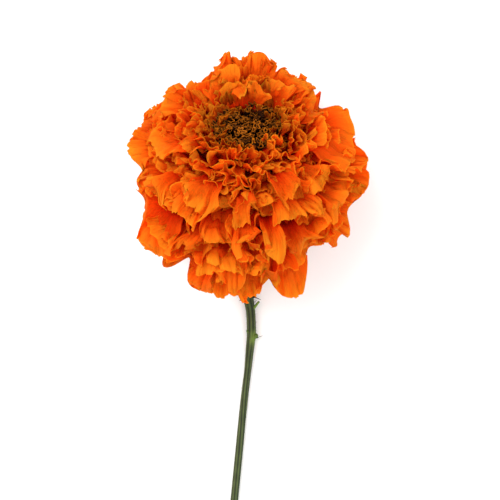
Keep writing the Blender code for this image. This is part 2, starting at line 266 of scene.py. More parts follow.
def straight_tube(name: str, sides: int, levels: int, capped: bool = False) -> bpy.types.Object:
    """Models a straight round tube, 1 high and 1 in radius, with rings of edges to bend and shape it by.

    Args:
        name: its name.
        sides: how many sides it has.
        levels: how many bands it has from end to end.
        capped: whether its ends are closed.

    Returns:
        The tube, standing on the origin.
    """
    bpy.ops.object.select_all(action="DESELECT")
    ends = "NGON" if capped else "NOTHING"
    bpy.ops.mesh.primitive_cylinder_add(
        vertices=sides, radius=1, depth=1, end_fill_type=ends, location=(0, 0, 0.5)
    )
    tube = added(name)
    bpy.ops.object.transform_apply(location=True, rotation=True, scale=True)
    bpy.ops.object.mode_set(mode="EDIT")
    bpy.ops.mesh.select_mode(type="EDGE")
    bpy.ops.mesh.select_all(action="DESELECT")
    bpy.ops.object.mode_set(mode="OBJECT")
    # Only the upright edges, which run from one end to the other, are cut into bands.
    for edge in tube.data.edges:
        low, high = (tube.data.vertices[i].co.z for i in edge.vertices)
        edge.select = abs(low - high) > 0.5
    bpy.ops.object.mode_set(mode="EDIT")
    bpy.ops.mesh.subdivide_edgering(number_cuts=levels - 1, interpolation="LINEAR")
    bpy.ops.object.mode_set(mode="OBJECT")
    return tube


def dressed(obj: bpy.types.Object, material: bpy.types.Material, node: str) -> bpy.types.Object:
    """Gives a finished piece its material and its place in the frame.

    Args:
        obj: the piece.
        material: its only material.
        node: the CAD node that it stands for.

    Returns:
        The piece.
    """
    obj.data.materials.clear()
    obj.data.materials.append(material)
    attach(obj, "root")
    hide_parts(node)
    return obj


# ---------------------------------------------------------------- the finishes


@dataclass(frozen=True)
class PetalFinish:
    """Fresh petal: soft, matt cells over pigment, so it glows where light comes through from behind."""

    # Painted shade: a dark red at the claw, deep down between the petals.
    shaded_claw: str = "#5E0800"
    # The throat's red: partly the petal's own, partly painted shade between the petals.
    throat: str = "#F41200"
    limb: str = "#FF660E"
    pale_limb: str = "#FF8616"
    edge: str = "#FFAE24"
    # Painted highlight: a thin pale line along the margin, where the edge catches the light.
    rim: str = "#FFB026"
    reverse: str = "#FC7C14"
    brown: str = "#8A2C04"
    # The same painted highlight on the browned petals.
    brown_rim_highlight: str = "#EA8A16"
    veins: tuple[float, float] = (30.0, 1.6)  # fine veins across a limb, and how often they change along it
    streaks: tuple[float, float] = (9.0, 2.5)  # broader streaks of colour, in the same way
    creases: float = 5.0  # fine creases from end to end of a limb
    crease_height: float = 1.1  # as a share of the veins' and the streaks'
    relief: float = 1.0 * MM
    claw_shade_end: tuple[float, float] = (0.15, 0.4)  # shares of the length between which the claw's painted shade ends
    yellowing: tuple[float, float] = (0.35, 1.1)  # of the margin, from the reddest petal to the palest
    streaking: tuple[float, float] = (0.7, 1.3)  # how unevenly the yellow runs in from the margin
    vein_shade: tuple[float, float] = (0.88, 1.1)
    # width of the margin's painted highlight
    rim_highlight_width: float = 0.42 * MM
    roughness: float = 0.7
    ior: float = 1.4
    gloss: float = 0.06
    glow: float = 0.6  # share of the light that goes through

    def material(self) -> bpy.types.Material:
        """Builds the petal material, which reads the florets' own attributes.

        Returns:
            The material.
        """
        material = new_material("fresh_marigold_petal")
        tree = material.node_tree
        limbward, tone, margin, edging, back, browning = (
            add_node(tree, "Attribute", attribute_name=name).outputs["Fac"]
            for name in ("limbward", "tone", "margin", "edging", "back", "browning")
        )
        along = add_node(tree, "UVMap", uv_map="UVMap").outputs["UV"]
        noises = []
        for count, changes in (self.veins, self.streaks):
            scaled = add_node(tree, "Mapping", {"Vector": along, "Scale": (count, changes, 1)})
            grain = {"Vector": scaled.outputs["Vector"], "Scale": 1.0, "Detail": 3.0, "Roughness": 0.6}
            noises.append(add_node(tree, "TexNoise", grain).outputs["Fac"])
        veins, streaks = noises
        # Red in the throat, partly the petal's own and partly painted shade deep between the petals, orange
        # up the limb, and yellower over the last few millimetres.
        low, high = self.yellowing
        toned = add_node(tree, "MapRange", {VALUE: tone, TO_LOW: low, TO_HIGH: high}).outputs[0]
        low, high = self.streaking
        streaked = add_node(
            tree, "MapRange", {VALUE: streaks, LOW: 0.35, HIGH: 0.65, TO_LOW: low, TO_HIGH: high}
        ).outputs[0]
        uneven = add_node(
            tree, "Math", {0: edging, 1: streaked}, operation="MULTIPLY", use_clamp=True
        ).outputs[0]
        yellowing = add_node(tree, "Math", {0: uneven, 1: toned}, operation="MULTIPLY").outputs[0]
        colour: tuple | bpy.types.NodeSocket = srgb(self.limb)
        for share, over in ((tone, self.pale_limb), (yellowing, self.edge), (back, self.reverse)):
            layer = {SHARE: share, UNDER: colour, OVER: srgb(over)}
            colour = add_node(tree, "Mix", layer, data_type="RGBA").outputs[MIXED]
        run = add_node(tree, "SeparateXYZ", {"Vector": along}).outputs["Y"]
        # Painted shade at the foot: dark at the claw, giving way to the throat's red.
        low, high = self.claw_shade_end
        past_claw_shade = add_node(tree, "MapRange", {VALUE: run, LOW: low, HIGH: high}).outputs[0]
        layer = {SHARE: past_claw_shade, UNDER: srgb(self.shaded_claw), OVER: srgb(self.throat)}
        throat = add_node(tree, "Mix", layer, data_type="RGBA").outputs[MIXED]
        layer = {SHARE: browning, UNDER: srgb(self.rim), OVER: srgb(self.brown_rim_highlight)}
        rim = add_node(tree, "Mix", layer, data_type="RGBA").outputs[MIXED]
        # The rim is a painted highlight: a thin pale line along the margin, where the thin edge catches the
        # light.
        at_rim_highlight = add_node(
            tree,
            "MapRange",
            {VALUE: margin, LOW: 0.0, HIGH: self.rim_highlight_width, TO_LOW: 1.0, TO_HIGH: 0.0},
            interpolation_type="SMOOTHSTEP",
        ).outputs[0]
        layer = {SHARE: limbward, UNDER: throat, OVER: colour}
        colour = add_node(tree, "Mix", layer, data_type="RGBA").outputs[MIXED]
        for share, over in ((browning, srgb(self.brown)), (at_rim_highlight, rim)):
            layer = {SHARE: share, UNDER: colour, OVER: over}
            colour = add_node(tree, "Mix", layer, data_type="RGBA").outputs[MIXED]
        low, high = self.vein_shade
        shade = add_node(tree, "MapRange", {VALUE: veins, LOW: 0.25, HIGH: 0.75, TO_LOW: low, TO_HIGH: high})
        layer = {SHARE: 1.0, UNDER: colour, OVER: shade.outputs[0]}
        colour = add_node(tree, "Mix", layer, data_type="RGBA", blend_type="MULTIPLY").outputs[MIXED]
        # Fine creases, as in thin paper that has been crumpled and opened again.
        creases = add_node(
            tree,
            "TexNoise",
            {"Vector": along, "Scale": self.creases, "Detail": 3.0, "Roughness": 0.5, "Distortion": 0.6},
            noise_type="RIDGED_MULTIFRACTAL",
        ).outputs["Fac"]
        raised = add_node(tree, "Math", {0: veins, 1: streaks}, operation="ADD").outputs[0]
        height = add_node(
            tree, "Math", {0: creases, 1: self.crease_height, 2: raised}, operation="MULTIPLY_ADD"
        ).outputs[0]
        bump = add_node(
            tree, "Bump", {"Strength": 1.0, "Distance": self.relief, "Height": height}
        ).outputs["Normal"]
        skin = add_node(
            tree,
            "BsdfPrincipled",
            {
                "Base Color": colour,
                "Roughness": self.roughness,
                "IOR": self.ior,
                "Specular IOR Level": self.gloss,
                "Normal": bump,
            },
        )
        through = add_node(tree, "BsdfTranslucent", {"Color": colour, "Normal": bump})
        mixed = add_node(tree, "MixShader", {0: self.glow, 1: skin.outputs[0], 2: through.outputs[0]})
        add_node(tree, "OutputMaterial", {"Surface": mixed.outputs[0]})
        return material


@dataclass(frozen=True)
class DiscFinish:
    """Disc floret: waxy dark brown tubes, with painted shade nearly black down between them, and amber lips.
    """

    # Painted shade, nearly black, low down between the tubes.
    pit_shade: str = "#0C0300"
    tube: str = "#1C0702"
    lip: str = "#C46C12"
    pit_shade_run: tuple[float, float] = (0.3, 0.9)  # shares of a tube's height over which the pit's painted shade gives way
    lip_run: tuple[float, float] = (0.9, 1.0)  # and over which the lip begins
    roughness: float = 0.7
    ior: float = 1.45
    gloss: float = 0.06

    def material(self) -> bpy.types.Material:
        """Builds the disc's material, which reads how high up its tube each point is.

        Returns:
            The material.
        """
        material = new_material("waxy_disc_floret")
        tree = material.node_tree
        height, tone = (
            add_node(tree, "Attribute", attribute_name=name).outputs["Fac"] for name in ("height", "tone")
        )
        # Painted shade low down between the tubes gives way to their brown, and the brown to amber lips.
        low, high = self.pit_shade_run
        up = add_node(tree, "MapRange", {VALUE: height, LOW: low, HIGH: high}).outputs[0]
        low, high = self.lip_run
        lit = add_node(
            tree, "MapRange", {VALUE: height, LOW: low, HIGH: high}, interpolation_type="SMOOTHSTEP"
        ).outputs[0]
        toned = add_node(tree, "Math", {0: lit, 1: tone}, operation="MULTIPLY").outputs[0]
        colour: tuple | bpy.types.NodeSocket = srgb(self.pit_shade)
        for share, over in ((up, self.tube), (toned, self.lip)):
            layer = {SHARE: share, UNDER: colour, OVER: srgb(over)}
            colour = add_node(tree, "Mix", layer, data_type="RGBA").outputs[MIXED]
        skin = add_node(
            tree,
            "BsdfPrincipled",
            {
                "Base Color": colour,
                "Roughness": self.roughness,
                "IOR": self.ior,
                "Specular IOR Level": self.gloss,
            },
        )
        add_node(tree, "OutputMaterial", {"Surface": skin.outputs[0]})
        return material


@dataclass(frozen=True)
class HerbFinish:
    """Green herb tissue: satin skin, streaked along its fibres, flushed on one side, with painted shade dark
    in its grooves and a paler green on its ribs that is partly their own and partly painted highlight.
    """

    name: str = "herb_stem_skin"
    # Painted shade, nearly black, down in the grooves between the ribs.
    groove: str = "#0D0F05"
    skin: str = "#243315"
    flush: str = "#3A3612"
    # Paler green on the ridges: partly their own, partly painted highlight.
    rib: str = "#46512A"
    fresh: str = "#728C32"
    half_rib: float = 0.55  # the rib's height at which the groove's painted shade has ended and the ridge's paler green, partly painted highlight, begins
    fibre_width: float = 0.3 * MM
    fibre_length: float = 9 * MM
    blotch: float = 3 * MM  # from one darker patch to the next
    streaking: tuple[float, float] = (0.6, 1.4)  # how dark and how light the fibres get
    patching: tuple[float, float] = (0.75, 1.2)  # and the patches
    relief: float = 0.1 * MM
    relief_strength: float = 0.4
    roughness: float = 0.55
    ior: float = 1.42
    gloss: float = 0.3

    def material(self) -> bpy.types.Material:
        """Builds the green material, which reads the shape's own ribs, sides and run.

        Returns:
            The material.
        """
        material = new_material(self.name)
        tree = material.node_tree
        rib, flush, fresh = (
            add_node(tree, "Attribute", attribute_name=name).outputs["Fac"]
            for name in ("rib", "flush", "fresh")
        )
        straight = add_node(tree, "Attribute", attribute_name="straight").outputs["Vector"]
        scale = (1 / self.fibre_width, 1 / self.fibre_width, 1 / self.fibre_length)
        stretched = add_node(tree, "Mapping", {"Vector": straight, "Scale": scale}).outputs["Vector"]
        fibres, blotches = (
            add_node(tree, "TexNoise", {"Vector": run, "Scale": size, "Detail": detail}).outputs["Fac"]
            for run, size, detail in ((stretched, 1.0, 4.0), (straight, 1 / self.blotch, 3.0))
        )
        # Painted shade darkens the grooves, and the ridges are paler, partly by painted highlight.
        low = add_node(tree, "MapRange", {VALUE: rib, HIGH: self.half_rib}).outputs[0]
        high = add_node(tree, "MapRange", {VALUE: rib, LOW: self.half_rib}).outputs[0]
        layer = {SHARE: flush, UNDER: srgb(self.skin), OVER: srgb(self.flush)}
        skin = add_node(tree, "Mix", layer, data_type="RGBA").outputs[MIXED]
        layer = {SHARE: low, UNDER: srgb(self.groove), OVER: skin}
        colour = add_node(tree, "Mix", layer, data_type="RGBA").outputs[MIXED]
        for share, over in ((high, self.rib), (fresh, self.fresh)):
            layer = {SHARE: share, UNDER: colour, OVER: srgb(over)}
            colour = add_node(tree, "Mix", layer, data_type="RGBA").outputs[MIXED]
        for noise, bounds, shades in (
            (fibres, (0.25, 0.75), self.streaking),
            (blotches, (0.3, 0.7), self.patching),
        ):
            shade = add_node(
                tree,
                "MapRange",
                {VALUE: noise, LOW: bounds[0], HIGH: bounds[1], TO_LOW: shades[0], TO_HIGH: shades[1]},
            ).outputs[0]
            layer = {SHARE: 1.0, UNDER: colour, OVER: shade}
            colour = add_node(tree, "Mix", layer, data_type="RGBA", blend_type="MULTIPLY").outputs[MIXED]
        bump = add_node(
            tree, "Bump", {"Strength": self.relief_strength, "Distance": self.relief, "Height": fibres}
        ).outputs["Normal"]
        surface = add_node(
            tree,
            "BsdfPrincipled",
            {
                "Base Color": colour,
                "Roughness": self.roughness,
                "IOR": self.ior,
                "Specular IOR Level": self.gloss,
                "Normal": bump,
            },
        )
        add_node(tree, "OutputMaterial", {"Surface": surface.outputs[0]})
        return material


STEM_SKIN = HerbFinish()
# The same painted shade in the grooves and partly painted highlight on the ribs, in the calyx's own greens.
CALYX_LEAF = HerbFinish(
    name="waxy_calyx_leaf", groove="#343F1C", skin="#5A6B34", flush="#6E6A30", rib="#7F8E4E", fresh="#93A85A"
)


@dataclass(frozen=True)
class TableFinish:
    """Matt white laminate table top: even and pale, with no gloss to mirror the flower."""

    colour: str = "#FCFCFA"
    roughness: float = 0.9
    gloss: float = 0.1

    def material(self) -> bpy.types.Material:
        """Builds the table's material.

        Returns:
            The material.
        """
        material = new_material("matt_white_laminate")
        tree = material.node_tree
        skin = add_node(
            tree,
            "BsdfPrincipled",
            {
                "Base Color": srgb(self.colour),
                "Roughness": self.roughness,
                "Specular IOR Level": self.gloss,
            },
        )
        add_node(tree, "OutputMaterial", {"Surface": skin.outputs[0]})
        return material


# ---------------------------------------------------------------- the head's place


@dataclass(frozen=True)
class Head:
    """The head's own frame, with +Z along its axis, and the shape that its tips fill."""

    lean: float = math.radians(48)  # of its axis from the vertical, towards +Y
    neck_lean: float = math.radians(41)  # of the calyx and of the stem's end
    disc_middle: float = 24.17 * MM  # the CAD disc's middle, above the head's
    radius: float = 46.5 * MM  # of the shape that its tips fill, which reaches this far up and down:
    top: float = 39.0 * MM
    bottom: float = 44.0 * MM
    core_radius: float = 27.5 * MM  # of the receptacle, which reaches this far up and down:
    core_top: float = 24.5 * MM
    core_bottom: float = 29.0 * MM  # down inside the calyx
    core_powers: tuple[float, float] = (2.0, 1.5)  # of its round dome, and of its cone's rounder shoulder
    resting_layer: float = 3.5 * MM  # of petals pressed flat against the table
    dip: float = 0.36  # share by which the head falls in over the disc
    dip_spread: float = math.radians(30)
    ragged: float = 0.045  # share by which margins may stand out of the outline
    # Where the outline seen from above swells or dips: direction from +X, share of the radius, spread.
    lobes: tuple[tuple[float, float, float], ...] = (
        (90, 0.16, 18),
        (97, 0.09, 4),
        (91, -0.06, 2),
        (84, 0.06, 4),
        (114, -0.08, 5),
        (130, 0.06, 14),
        (60, 0.04, 14),
        (43, -0.17, 5),
        (36, 0.06, 5),
        (17, -0.07, 4),
        (-18, -0.14, 9),
        (-48, -0.23, 9),
        (-67, 0.13, 5),
        (-79, -0.2, 3.5),
        (-95, 0.08, 14),
        (-125, -0.2, 4),
        (-150, 0.08, 5),
        (-162, -0.1, 10),
        (-170, -0.1, 8),
        (176, -0.14, 5),
        (166, 0.03, 5),
    )

    def neck(self) -> Matrix:
        """Finds the calyx's frame: the head's middle, set by the CAD model's disc, and its axis.

        Returns:
            The frame, as a matrix to the world.
        """
        low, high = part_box("disc_florets")
        turn = Matrix.Rotation(-self.neck_lean, 4, "X")
        return Matrix.Translation((low + high) / 2 - turn @ Vector((0, 0, self.disc_middle))) @ turn

    def matrix(self) -> Matrix:
        """Returns the bloom's frame in the world, which nods a little further over than its neck."""
        return Matrix.Translation(self.neck().translation) @ Matrix.Rotation(-self.lean, 4, "X")

    def reach(self, ways: np.ndarray) -> np.ndarray:
        """Returns how far the head reaches from its middle along directions in its own frame.

        Args:
            ways: unit vectors, along the last axis.

        Returns:
            The reach along each.
        """
        out = np.hypot(ways[..., 0], ways[..., 1])
        depth = np.where(ways[..., 2] > 0, self.top, self.bottom)
        round_reach = 1 / np.hypot(out / self.radius, ways[..., 2] / depth)
        dip = self.dip * np.exp(-((np.arctan2(out, ways[..., 2]) / self.dip_spread) ** 2))
        # The lobes are those of the outline from above, so they act on what shows in it.
        seen = ways @ np.array(Matrix.Rotation(-self.lean, 3, "X")).T
        direction = np.degrees(np.arctan2(seen[..., 1], seen[..., 0]))
        swell = 0.0
        for centre, share, spread in self.lobes:
            away = (direction - centre + 180) % 360 - 180
            swell = swell + share * np.exp(-((away / spread) ** 2))
        return round_reach * (1 - dip) * (1 + swell * (seen[..., 0] ** 2 + seen[..., 1] ** 2))

    def held_in(self, points: np.ndarray) -> np.ndarray:
        """Draws in what would stand out of the head's outline, so that its lobes and notches show.

        Args:
            points: places in the head's own frame, along the last axis.

        Returns:
            The places, with those too far out drawn in.
        """
        far = np.maximum(np.linalg.norm(points, axis=-1, keepdims=True), TINY)
        most = self.reach(points / far)[..., None]
        over = np.maximum(far / most - 1, 0)
        return points * np.where(over > 0, most / far * (1 + self.ragged * np.tanh(over / self.ragged)), 1)

    def core_skin(self, polar: np.ndarray | float) -> np.ndarray | float:
        """Returns how far the receptacle reaches from the head's middle at angles from its axis.

        Args:
            polar: the angles.

        Returns:
            The reach at each: a round dome above, and a cone with a rounded shoulder below.
        """
        above = np.cos(polar) > 0
        depth = np.where(above, self.core_top, self.core_bottom)
        power = np.where(above, *self.core_powers)
        sides = (np.abs(np.sin(polar)) / self.core_radius) ** power + (np.abs(np.cos(polar)) / depth) ** power
        return sides ** (-1 / power)

    def laid_down(self, points: np.ndarray, floor: float) -> np.ndarray:
        """Presses what reaches too low flat against the table.

        Args:
            points: places in the world.
            floor: the lowest that a point may come.

        Returns:
            The places, with the low ones pressed up.
        """
        room = self.resting_layer - floor
        height = points[..., 2:]
        pressed = floor + room * np.exp(np.minimum(height - self.resting_layer, 0) / room)
        laid = np.where(height < self.resting_layer, pressed, height)
        return np.concatenate([points[..., :2], laid], axis=-1)


# ---------------------------------------------------------------- the ray florets


class Ring(Enum):
    """The four rings of ray florets, from the calyx in to the disc."""

    SKIRT = "skirt"
    SHOULDER = "shoulder"
    CROWN = "crown"
    THROAT = "throat"


@dataclass(frozen=True)
class Blade:
    """What the flat petal is like that a set of florets is copied from."""

    rows: int
    columns: int
    reddening_and_shade: tuple[float, float]  # shares of the length between which red throat, partly painted shade, turns to orange limb
    edge_width: float  # over which the limb turns yellower towards its margin


@dataclass(frozen=True)
class RingSizes:
    """What the florets of one ring have in common. Each pair is a range that florets are drawn from."""

    count: int
    polar: tuple[float, float]  # of the tips, in degrees from the axis, outermost first
    jitter: float  # how far a tip may stray from its own polar angle, in degrees
    blade: Blade
    width: tuple[float, float]  # of the limb as it stands, from side to side
    fold_run: tuple[float, float]  # from one fold to the next
    fold_depth: tuple[float, float]  # the steepest slope of the folds at the margin, in radians
    frill_run: float  # from one ripple of the margin to the next
    frill_depth: float  # the steepest slope of those ripples, in radians
    reflex: tuple[float, float]  # how far the tip turns outwards past its own polar angle, in degrees
    upright: float  # how few tips turn that far: the power of an even draw
    root: tuple[float, float]  # the claw's polar angle, as a share of the tip's
    reach: tuple[float, float]  # as a share of the head's own
    sway: float  # how far the limb leans sideways, as a share of its length
    crumple: float  # height of the broad dents in its face
    opening: float  # share by which the far side's folds are shallower than the near side's
    browning: tuple[float, float] = (0.0, 0.0)  # of the outermost floret, and of the innermost
    roll: float = 40.0  # how far the limb turns about its own length, in degrees
    turn: float = 0.2  # how far a floret may stray round the axis, in radians
    giving_way: float = 0.04  # how far it draws in under a fan, as a share of its reach
    cup: float = 0.9  # how far its sides may curl to one face, in radians
    frill_share: tuple[float, float] = (0.8, 1.2)  # of the number of ripples that frill_run gives
    frill_depth_share: tuple[float, float] = (0.6, 1.2)
    crumple_share: tuple[float, float] = (0.5, 1.2)
    flutter: tuple[float, float] = (0.2, 0.6)  # how far the margin waves up and down, in radians
    notch: tuple[float, float] = (0.025, 0.065)  # depth of the notches along the tip


RINGS = {
    Ring.SKIRT: RingSizes(
        count=84,
        polar=(150, 84),
        jitter=8,
        blade=Blade(rows=16, columns=32, reddening_and_shade=(0.2, 0.75), edge_width=7 * MM),
        width=(15 * MM, 24 * MM),
        fold_run=(7 * MM, 12 * MM),
        fold_depth=(0.8, 1.3),
        frill_run=3.8 * MM,
        frill_depth=1.3,
        reflex=(-12, 55),
        upright=1.2,
        root=(0.95, 1.15),
        reach=(0.93, 1.05),
        sway=0.25,
        crumple=0.9 * MM,
        opening=0.2,
    ),
    Ring.SHOULDER: RingSizes(
        count=88,
        polar=(92, 50),
        jitter=9,
        blade=Blade(rows=15, columns=34, reddening_and_shade=(0.3, 0.85), edge_width=6 * MM),
        width=(13 * MM, 21 * MM),
        fold_run=(6 * MM, 10 * MM),
        fold_depth=(1.1, 1.6),
        frill_run=3.4 * MM,
        frill_depth=1.2,
        reflex=(-20, 70),
        upright=1.7,
        root=(0.8, 0.95),
        reach=(0.78, 0.99),
        sway=0.25,
        crumple=0.8 * MM,
        opening=0.5,
    ),
    Ring.CROWN: RingSizes(
        count=98,
        polar=(64, 29),
        jitter=8,
        blade=Blade(rows=13, columns=34, reddening_and_shade=(0.42, 1.0), edge_width=3 * MM),
        width=(11 * MM, 18 * MM),
        fold_run=(4.5 * MM, 7.5 * MM),
        fold_depth=(1.2, 1.65),
        frill_run=3 * MM,
        frill_depth=0.9,
        reflex=(-25, 45),
        upright=1.7,
        root=(0.9, 1.05),
        reach=(0.8, 1.02),
        sway=0.22,
        crumple=0.7 * MM,
        opening=0.25,
    ),
    Ring.THROAT: RingSizes(
        count=110,
        polar=(38, 22),
        jitter=4,
        blade=Blade(rows=8, columns=24, reddening_and_shade=(0.45, 1.0), edge_width=2.5 * MM),
        width=(5 * MM, 9 * MM),
        fold_run=(2.0 * MM, 3.2 * MM),
        fold_depth=(1.5, 1.85),
        frill_run=1.6 * MM,
        frill_depth=0.3,
        reflex=(-25, 12),
        upright=1.0,
        root=(1.1, 1.3),
        reach=(0.76, 1.04),
        sway=0.18,
        crumple=0.35 * MM,
        opening=0.0,
        browning=(0.0, 0.75),
    ),
}


@dataclass(frozen=True)
class FanSizes:
    """What the broad open florets have in common. Each pair is a range that they are drawn from."""

    blade: Blade = Blade(rows=20, columns=40, reddening_and_shade=(0.3, 0.88), edge_width=6 * MM)
    fullness: float = 1.08  # a limb's width, as a share of what the fan's own row says
    folding: float = 1.5  # its folds' depth, in the same way
    sway: tuple[float, float] = (-0.15, 0.15)
    roll: tuple[float, float] = (-32, 32)  # added to the fan's own, in degrees
    frill_run: float = 3.8  # in millimetres
    frill_share: tuple[float, float] = (0.75, 1.25)
    frill_depth: tuple[float, float] = (1.0, 1.6)
    crumple: float = 1.35 * MM
    flutter: tuple[float, float] = (0.15, 0.45)
    notch: tuple[float, float] = (0.04, 0.085)


FAN_SIZES = FanSizes()


@dataclass(frozen=True)
class Fan:
    """One of the broad open florets that stand out of the rings."""

    tip: tuple[float, float, float]  # from the head's middle, in millimetres along the world's axes
    width: float  # of the limb from side to side, in millimetres
    droop: float = 0.0  # of the limb's far end below the level, in degrees
    fold_run: float = 6.0  # in millimetres
    fold_depth: float = 0.75
    roll: float = 0.0  # in degrees
    cup: float = 0.3  # how far its sides curl to one face, in radians
    tone: float = 0.5  # how pale an orange it is
    root: float = 0.86  # the claw's polar angle, as a share of the tip's


FANS = (
    # the near side, below the disc
    Fan((16.5, -11.0, 40.0), 11, 5, 7, 0.9, 8, 0.6, 0.4, 0.72),
    Fan((-18.5, -14.0, 39.0), 16, 8, 5, 0.7, -6, 0.4, 0.8, 0.72),
    Fan((-23.5, -18.0, 34.5), 13, 20, 6, 0.9, -10, 0.3, 0.5, 0.8),
    Fan((-33.5, -10.0, 27.5), 15, 12, 6, 0.9, -8, 0.2, 0.6, 0.75),
    Fan((-0.5, -18.5, 42.0), 9, 15, 6, 0.9, 0, -0.2, 0.5, 0.78),
    Fan((28.0, -4.5, 35.0), 12, -5, 9, 1.0, 10, 0.7, 0.9, 0.8),
    Fan((24.0, -16.0, 34.0), 11, 10, 6, 1.0, 10, 0.4, 0.6),
    Fan((-15.0, -26.5, 33.5), 13, 25, 6, 0.8, 0, 0.1, 0.4),
    Fan((-19.5, -31.5, 27.0), 12, 30, 9, 1.2, 30, 0.5, 0.5),
    Fan((-2.3, -29.5, 38.0), 13, 25, 6, 0.9, 0, 0.1, 0.5),
    Fan((10.5, -30.3, 37.5), 10, 40, 9, 1.1, -30, 0.6, 1.0),
    Fan((22.0, -32.0, 27.0), 12, 25, 6, 0.9, -10, 0.2, 0.6),
    Fan((33.0, -16.5, 26.0), 14, 12, 7, 0.9, 5, 0.3, 0.5),
    # the left
    Fan((-24.0, 9.5, 32.0), 7, 5, 9, 0.4, 0, 0.9, 0.6),
    Fan((-36.0, 11.5, 26.0), 22, 8, 4.5, 0.6, 0, 0.2, 0.6, 0.8),
    Fan((-47.0, 10.0, 9.0), 18, 14, 6, 0.7, -15, 0.4, 1.0, 0.75),
    Fan((-42.0, -4.0, 16.0), 17, 18, 6, 0.9, 15, 0.4, 0.8),
    Fan((-41.0, 26.0, 9.0), 18, 6, 4.5, 0.7, 0, 0.2, 0.8, 0.75),
    Fan((-30.0, 36.0, 9.0), 19, 2, 5, 0.8, 0, 0.1, 0.6, 0.78),
    Fan((-41.0, -24.5, 14.0), 25, 22, 9, 0.6, 0, 0.3, 0.4),
    Fan((-29.8, -37.5, 4.0), 7, 35, 8, 1.0, 40, 0.6, 0.3),
    # the top
    Fan((-5.0, 50.5, 2.0), 17, 0, 5, 0.7, 0, 0.1, 0.7, 0.8),
    Fan((7.2, 50.0, 2.0), 13, 0, 6, 0.7, 10, 0.4, 0.9, 0.8),
    Fan((17.5, 45.0, 5.0), 16, 3, 5, 0.8, 0, 0.2, 0.7, 0.8),
    Fan((24.5, 41.0, 6.0), 15, 3, 5, 0.9, 10, 0.2, 0.7, 0.8),
    Fan((29.8, 31.0, 12.0), 18, 3, 4.5, 0.8, 0, 0.1, 0.6, 0.8),
    Fan((-13.5, 43.0, 9.0), 16, -4, 6, 0.8, -10, 0.2, 0.9),
    Fan((0.5, 37.0, 10.0), 15, -8, 5, 1.2, 0, 0.0, 0.3),
    Fan((12.0, 39.5, 9.0), 17, -8, 6, 1.0, 0, 0.1, 0.4),
    # the right
    Fan((43.0, 17.0, 9.0), 34, 8, 7, 0.7, -5, 0.0, 0.3, 0.62),
    Fan((46.8, 2.5, 9.0), 20, 5, 5, 0.9, 5, 0.2, 0.4, 0.72),
    Fan((47.5, -3.5, 3.0), 8, 0, 7, 0.9, 20, 0.6, 1.0),
    Fan((38.5, -10.5, 19.0), 17, 5, 8, 0.8, 0, 0.7, 0.6, 0.8),
    Fan((39.6, -22.5, 8.0), 19, 10, 6, 0.7, -10, 0.4, 0.9, 0.8),
    # the bottom
    Fan((-19.0, -43.5, 12.0), 22, 25, 9, 0.6, 0, 0.2, 0.2),
    Fan((-7.5, -41.5, 25.0), 14, 35, 7, 0.8, 0, 0.2, 0.4),
    Fan((3.5, -46.8, 10.0), 14, 12, 6, 0.9, 10, 0.1, 0.8),
    Fan((-6.3, -47.5, 9.0), 17, 8, 6, 0.8, 0, 0.1, 0.8),
    Fan((18.0, -46.8, 7.0), 20, 20, 8, 0.7, 0, 0.1, 0.8, 0.8),
    Fan((-13.0, -46.0, 4.0), 20, 0, 7, 0.7, 0, 0.1, 0.5, 0.8),
    Fan((-22.0, -41.5, 3.5), 16, 0, 7, 0.8, 0, 0.1, 0.6, 0.8),
    Fan((8.0, -42.0, 14.0), 15, 20, 6, 0.9, 15, 0.2, 0.5, 0.8),
    Fan((-0.5, -45.0, 4.0), 16, 5, 6, 0.9, 0, 0.2, 0.6, 0.8),
    Fan((29.0, -27.0, 15.0), 16, 20, 7, 0.9, 10, 0.3, 0.5, 0.8),
    Fan((-44.0, -15.0, 5.0), 15, 8, 6, 0.9, -10, 0.3, 0.7, 0.8),
    # over the gap below the disc's right end
    Fan((16.5, -18.3, 35.2), 13, 12, 6, 1.0, 12, 0.4, 0.6, 0.78),
)


@dataclass
class Floret:
    """One ray floret's own draw: where its tip is, and how its limb is bent and folded."""

    azimuth: float
    polar: float
    reach: float
    width: float
    tip_angle: float  # of the tip's direction from the axis
    root_polar: float
    sway: float
    roll: float
    cup: float
    folds: float  # how many folds and frills lie side by side, and how steep they are
    fold_depth: float
    frills: float
    frill_depth: float
    crumple: float
    phases: np.ndarray  # where each of its waves starts
    flutter: float
    notch: float
    tone: float
    browning: float


